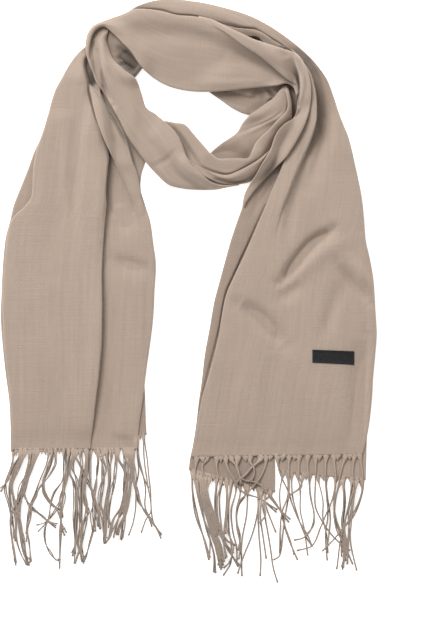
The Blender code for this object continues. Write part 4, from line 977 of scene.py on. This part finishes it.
def label(ground, tape, thread):
    """The blank woven label, and the stitches along its two short ends."""
    cloth = ground.over(*LABEL_COVER)
    length = math.dist(LABEL_CORNERS[0], LABEL_CORNERS[1])
    width = math.dist(LABEL_CORNERS[0], LABEL_CORNERS[3])
    rim = LABEL_RIM / width
    half = np.array((0.0, 0.012, rim, 1.5 * rim, 0.25))
    under = (1.0, 0.7, 0.3, 0.0)
    across = (*half, 0.5, *(1 - half[::-1]), *under)
    lift = np.array((*LABEL_LIFT, LABEL_MIDDLE, *LABEL_LIFT[::-1], *(0 for _ in under)))
    middle = np.linspace(LABEL_END, 1 - LABEL_END, LABEL_STEPS)
    along = np.concatenate(((0.0, 0.3 * LABEL_END), middle, (1 - 0.3 * LABEL_END, 1.0)))
    u, v = np.meshgrid(along, across, indexing="ij")
    x, y = label_place(u, v)
    end = np.minimum(along, 1 - along) / LABEL_END
    end = np.minimum(1, LABEL_END_LIFT + (1 - LABEL_END_LIFT) * end)[:, None]
    z = sample(cloth, x, y) + LABEL_GAP + lift * LABEL_RISE * end
    rings = np.stack([x, y, z], axis=-1)
    made = tubes("woven_label", [(rings, closed(v * width), along * length)], tape)
    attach(made, "root")
    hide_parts("label")
    parts = []
    share = np.linspace(-1, 1, STITCH_RINGS)
    thick = STITCH_RADIUS * np.sqrt(np.maximum(1.02 - share**2, 0.02))[:, None]
    angle = np.linspace(0, 2 * math.pi, 8, endpoint=False)
    for end in (STITCH_INSET / length, 1 - STITCH_INSET / length):
        for k in range(STITCHES):
            down = (k + 0.5) / STITCHES + 0.5 * STITCH_LENGTH / width * share
            x, y = label_place(np.full(STITCH_RINGS, end), down)
            z = sample(cloth, x, y) + LABEL_GAP + STITCH_DEPTH * LABEL_RISE
            ring = np.stack([x[:, None] + np.cos(angle) * thick, y[:, None] + 0 * angle,
                             z[:, None] + np.sin(angle) * thick], axis=-1)
            parts.append((ring, np.concatenate([ring[..., 0], ring[:, :1, 0]], 1), y))
    sewn = tubes("label_stitches", parts, thread, turned=True, capped=False)
    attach(sewn, "root")


# Materials -----------------------------------------------------------------------------

TAUPE = (0.355, 0.280, 0.228, 1.0)
# the cloth's colour a shade darker: painted shade for the under layers that lie in shadow
PAINTED_SHADE_TAUPE = (0.315, 0.248, 0.202, 1.0)
YARN = (0.268, 0.214, 0.177, 1.0)
# Repeats of the textures' fine patterns, in metres
WEAVE_PITCH = 0.0008
PLY_PITCH = (0.0030, 0.0042)
TAPE_PITCH = (0.0007, 0.0005)


class Nodes:
    """Short calls for making and joining a material's nodes."""

    def __init__(self, name):
        self.material = bpy.data.materials.new(name)
        self.material.use_nodes = True
        self.tree = self.material.node_tree
        self.shader = self.tree.nodes["Principled BSDF"]

    def add(self, kind, **values):
        """A node with the named sockets or settings filled in."""
        node = self.tree.nodes.new(kind)
        for key, value in values.items():
            if key in node.inputs:
                self.put(node.inputs[key], value)
            else:
                setattr(node, key, value)
        return node

    def put(self, socket, value):
        """Links an output to a socket, or sets a plain value on it."""
        if isinstance(value, bpy.types.NodeSocket):
            self.tree.links.new(value, socket)
        else:
            socket.default_value = value

    def uv(self):
        """The cloth's own coordinates."""
        return self.add("ShaderNodeUVMap", uv_map="cloth").outputs["UV"]

    def sides(self, uv):
        """Those coordinates' two parts, across the cloth and along it."""
        return self.add("ShaderNodeSeparateXYZ", Vector=uv).outputs[:2]

    def math(self, operation, a, b=0.0):
        """The output of a Math node."""
        node = self.add("ShaderNodeMath", operation=operation)
        self.put(node.inputs[0], a)
        self.put(node.inputs[1], b)
        return node.outputs[0]

    def total(self, *parts, base=0.0):
        """The sum of values, each given with its weight, and of a plain base."""
        total, *rest = [self.math("MULTIPLY", *part) for part in parts]
        for term in (*rest, base):
            total = self.math("ADD", total, term)
        return total

    def wave(self, value, pitch):
        """A sine with that pitch."""
        return self.math("SINE", self.math("MULTIPLY", value, 2 * math.pi / pitch))

    def noise(self, vector, across, along, detail):
        """Noise between 0 and 1 on stretched coordinates."""
        mapping = self.add("ShaderNodeMapping", Vector=vector, Scale=(across, along, 1))
        node = self.add("ShaderNodeTexNoise", Vector=mapping.outputs[0], Detail=detail, Scale=1.0)
        return node.outputs["Fac"]

    def marked(self, name):
        """The value that mark gave the points."""
        return self.add("ShaderNodeAttribute", attribute_name=name).outputs["Fac"]

    def grey(self, shade, bluer=1.0):
        """A colour of one shade, with its blue that much stronger."""
        blue = self.math("MULTIPLY", shade, bluer)
        return self.add("ShaderNodeCombineColor", Red=shade, Green=shade, Blue=blue).outputs[0]

    def mix(self, a, b, factor=1.0, blend="MULTIPLY"):
        """One colour mixed with another."""
        node = self.add("ShaderNodeMix", data_type="RGBA", blend_type=blend, Factor=factor)
        self.put(node.inputs[6], a)
        self.put(node.inputs[7], b)
        return node.outputs[2]

    def finish(self, colour, bump, **values):
        """The material, with its colour, its bump's height, strength and depth, and the rest."""
        height, strength, depth = bump
        normal = self.add("ShaderNodeBump", Height=height, Strength=strength, Distance=depth)
        self.put(self.shader.inputs["Base Color"], colour)
        self.put(self.shader.inputs["Normal"], normal.outputs[0])
        return self.plain(**values)

    def plain(self, **values):
        """The material, with plain values on its shader's own sockets."""
        for name, value in values.items():
            self.shader.inputs[name.replace("_", " ")].default_value = value
        return self.material


def cloth_material(name, colour):
    """Plain weave with streaks along the warp and slubs along the weft, a soft nap, and shade painted
    into its colour deep in hollows.
    """
    n = Nodes(name)
    uv = n.uv()
    across, along = n.sides(uv)
    warp = n.noise(uv, 1100, 14, 2.0)
    band = n.noise(uv, 230, 11, 4.0)
    weft = n.noise(uv, 18, 1000, 2.0)
    patch = n.noise(uv, 28, 14, 3.0)
    grain = n.noise(uv, 1500, 1500, 1.0)
    over = n.math("MULTIPLY", n.wave(across, WEAVE_PITCH), n.wave(along, WEAVE_PITCH))
    slub = n.math("POWER", weft, 3.0)
    height = n.total((warp, 0.9), (slub, 1.6), (over, 0.18), (grain, 0.35))
    shade = n.total((warp, 0.20), (weft, 0.14), (band, 0.20), (patch, 0.14), (grain, 0.08),
                    base=0.62)
    # painted shade: the colour darkens where the cloth lies deep below the cloth around it
    shade = n.math("MULTIPLY", shade, n.math("SUBTRACT", 1.0, n.marked("painted_hollow_shade")))
    return n.finish(n.mix(colour, n.grey(shade)), (height, 0.55, 0.0006), Roughness=0.92,
                    Specular_IOR_Level=0.25, Sheen_Weight=0.6, Sheen_Roughness=0.35,
                    Sheen_Tint=(1.0, 0.94, 0.88, 1.0), Subsurface_Weight=0.06,
                    Subsurface_Radius=(1.0, 0.55, 0.35), Subsurface_Scale=0.002)


def yarn_material():
    """Twisted yarn: slanting plies with loose fibres, the cloth's colour at its root."""
    n = Nodes("twisted_yarn")
    uv = n.uv()
    across, along = n.sides(uv)
    turns = [(side, 2 * math.pi / pitch) for side, pitch in zip((across, along), PLY_PITCH)]
    ply = n.math("SINE", n.total(*turns))
    fibre = n.noise(uv, 2400, 500, 2.0)
    height = n.total((ply, 0.5), (fibre, 1.0))
    shade = n.total((ply, 0.03), (fibre, 0.3), base=0.85)
    colour = n.mix(YARN, TAUPE, n.marked("root"), blend="MIX")
    return n.finish(n.mix(colour, n.grey(shade)), (height, 0.35, 0.0004), Roughness=0.9,
                    Specular_IOR_Level=0.25, Sheen_Weight=0.2)


def label_material():
    """Black satin tape: fine cross ribs, and threads that catch the light here and there."""
    n = Nodes("black_tape")
    uv = n.uv()
    across, along = n.sides(uv)
    rib = n.wave(across, TAPE_PITCH[0])
    warp = n.wave(along, TAPE_PITCH[1])
    fleck = n.noise(uv, 900, 260, 3.0)
    height = n.total((rib, 0.5), (warp, 0.25), (fleck, 1.0))
    shade = n.total((n.math("POWER", fleck, 2.0), 0.030), base=0.003)
    return n.finish(n.grey(shade, bluer=1.1), (height, 0.5, 0.0002), Roughness=0.6,
                    Specular_IOR_Level=0.2)


def thread_material():
    """Black sewing thread, with its twist."""
    n = Nodes("black_thread")
    fibre = n.noise(n.uv(), 3000, 1200, 2.0)
    return n.finish(n.grey(n.total((fibre, 0.03), base=0.01)), (fibre, 0.5, 0.0001),
                    Roughness=0.5, Specular_IOR_Level=0.4)


# The studio ----------------------------------------------------------------------------


def area_light(name, energy, size, place):
    """A round soft light aimed at the middle of the shawl."""
    data = bpy.data.lights.new(name, "AREA")
    data.shape = "DISK"
    data.size = size
    data.energy = energy
    lamp = linked(name, data)
    lamp.location = place
    lamp.rotation_euler = (-lamp.location).to_track_quat("-Z", "Y").to_euler()


def floor():
    """The pale floor, which curves up into a cove all round."""
    turns = np.linspace(0, 2 * math.pi, COVE_SIDES, endpoint=False)
    verts = [(0.0, 0.0, FLOOR_DROP)]
    for bend in np.linspace(0, math.pi / 2, COVE_RINGS):
        radius = COVE_START + COVE_BEND * math.sin(bend)
        height = FLOOR_DROP + COVE_BEND * (1 - math.cos(bend))
        verts += [(radius * math.cos(t), radius * math.sin(t), height) for t in turns]
    sides = [(k, (k + 1) % COVE_SIDES) for k in range(COVE_SIDES)]
    faces = [(0, 1 + k, 1 + n) for k, n in sides]
    for a in range(1, COVE_SIDES * (COVE_RINGS - 1), COVE_SIDES):
        b = a + COVE_SIDES
        faces += [(a + k, b + k, b + n, a + n) for k, n in sides]
    mesh = bpy.data.meshes.new("floor")
    mesh.from_pydata(verts, [], faces)
    mesh.shade_smooth()
    grey = (FLOOR_GREY, FLOOR_GREY, FLOOR_GREY, 1)
    mesh.materials.append(Nodes("floor_white").plain(
        Base_Color=grey, Emission_Color=(1, 1, 1, 1), Emission_Strength=FLOOR_GLOW, Roughness=1.0,
        Specular_IOR_Level=0.0))
    linked("floor", mesh)


def stage():
    """The floor, the light and the camera."""
    scene = bpy.context.scene
    scene.world = bpy.data.worlds.new("studio")
    scene.world.use_nodes = True
    background = scene.world.node_tree.nodes["Background"]
    background.inputs["Color"].default_value = WORLD_COLOUR
    background.inputs["Strength"].default_value = WORLD
    floor()
    for light in LIGHTS:
        area_light(*light)
    camera = bpy.data.cameras.new("camera")
    camera.sensor_width = SENSOR
    camera.lens = SENSOR / VIEW_HEIGHT * CAMERA_HEIGHT
    camera.clip_end = CAMERA_REACH
    scene.camera = linked("camera", camera)
    scene.camera.location = (VIEW_CENTRE[0] * MM, VIEW_CENTRE[1] * MM, CAMERA_HEIGHT * MM)
    scene.view_settings.view_transform = "Standard"


def slow_noise(seed, size):
    """A smooth random field on the grid of heights, about -1 to 1."""
    field = blur(np.random.default_rng(seed).standard_normal(GRID_SIZE[::-1]), size)
    return field / np.abs(field).max()


def build():
    """Lays the cloth, lowest first, each stretch with its fringe, then the label."""
    stage()
    ground = Heights()
    # the face, and a darker copy of it that paints shade onto the under layers lying in shadow
    cloth = {"face": cloth_material("shawl_cloth", TAUPE),
             "painted_shade": cloth_material("shawl_cloth_painted_shade", PAINTED_SHADE_TAUPE)}
    yarn = yarn_material()
    tops = []
    for k, stretch in enumerate(map(Stretch._make, STRETCHES)):
        ripple = slow_noise(k, RIPPLE_SIZE)
        made, flat, hem, top = lay(stretch, ground, ripple, cloth[stretch.side])
        tops.append((made, top, stretch.dark))
        if stretch.node in FRINGES:
            fringe(Fringe(*FRINGES[stretch.node]), hem, ground, yarn)
    # paint shade into the colour of cloth tops lying deep below the cloth around them
    around = blur(spread(ground.z, HOLLOW_REACH[0]), HOLLOW_REACH[1])
    for made, top, dark in tops:
        paint_hollow_shade(made, top, around, dark)
    label(ground, label_material(), thread_material())


build()
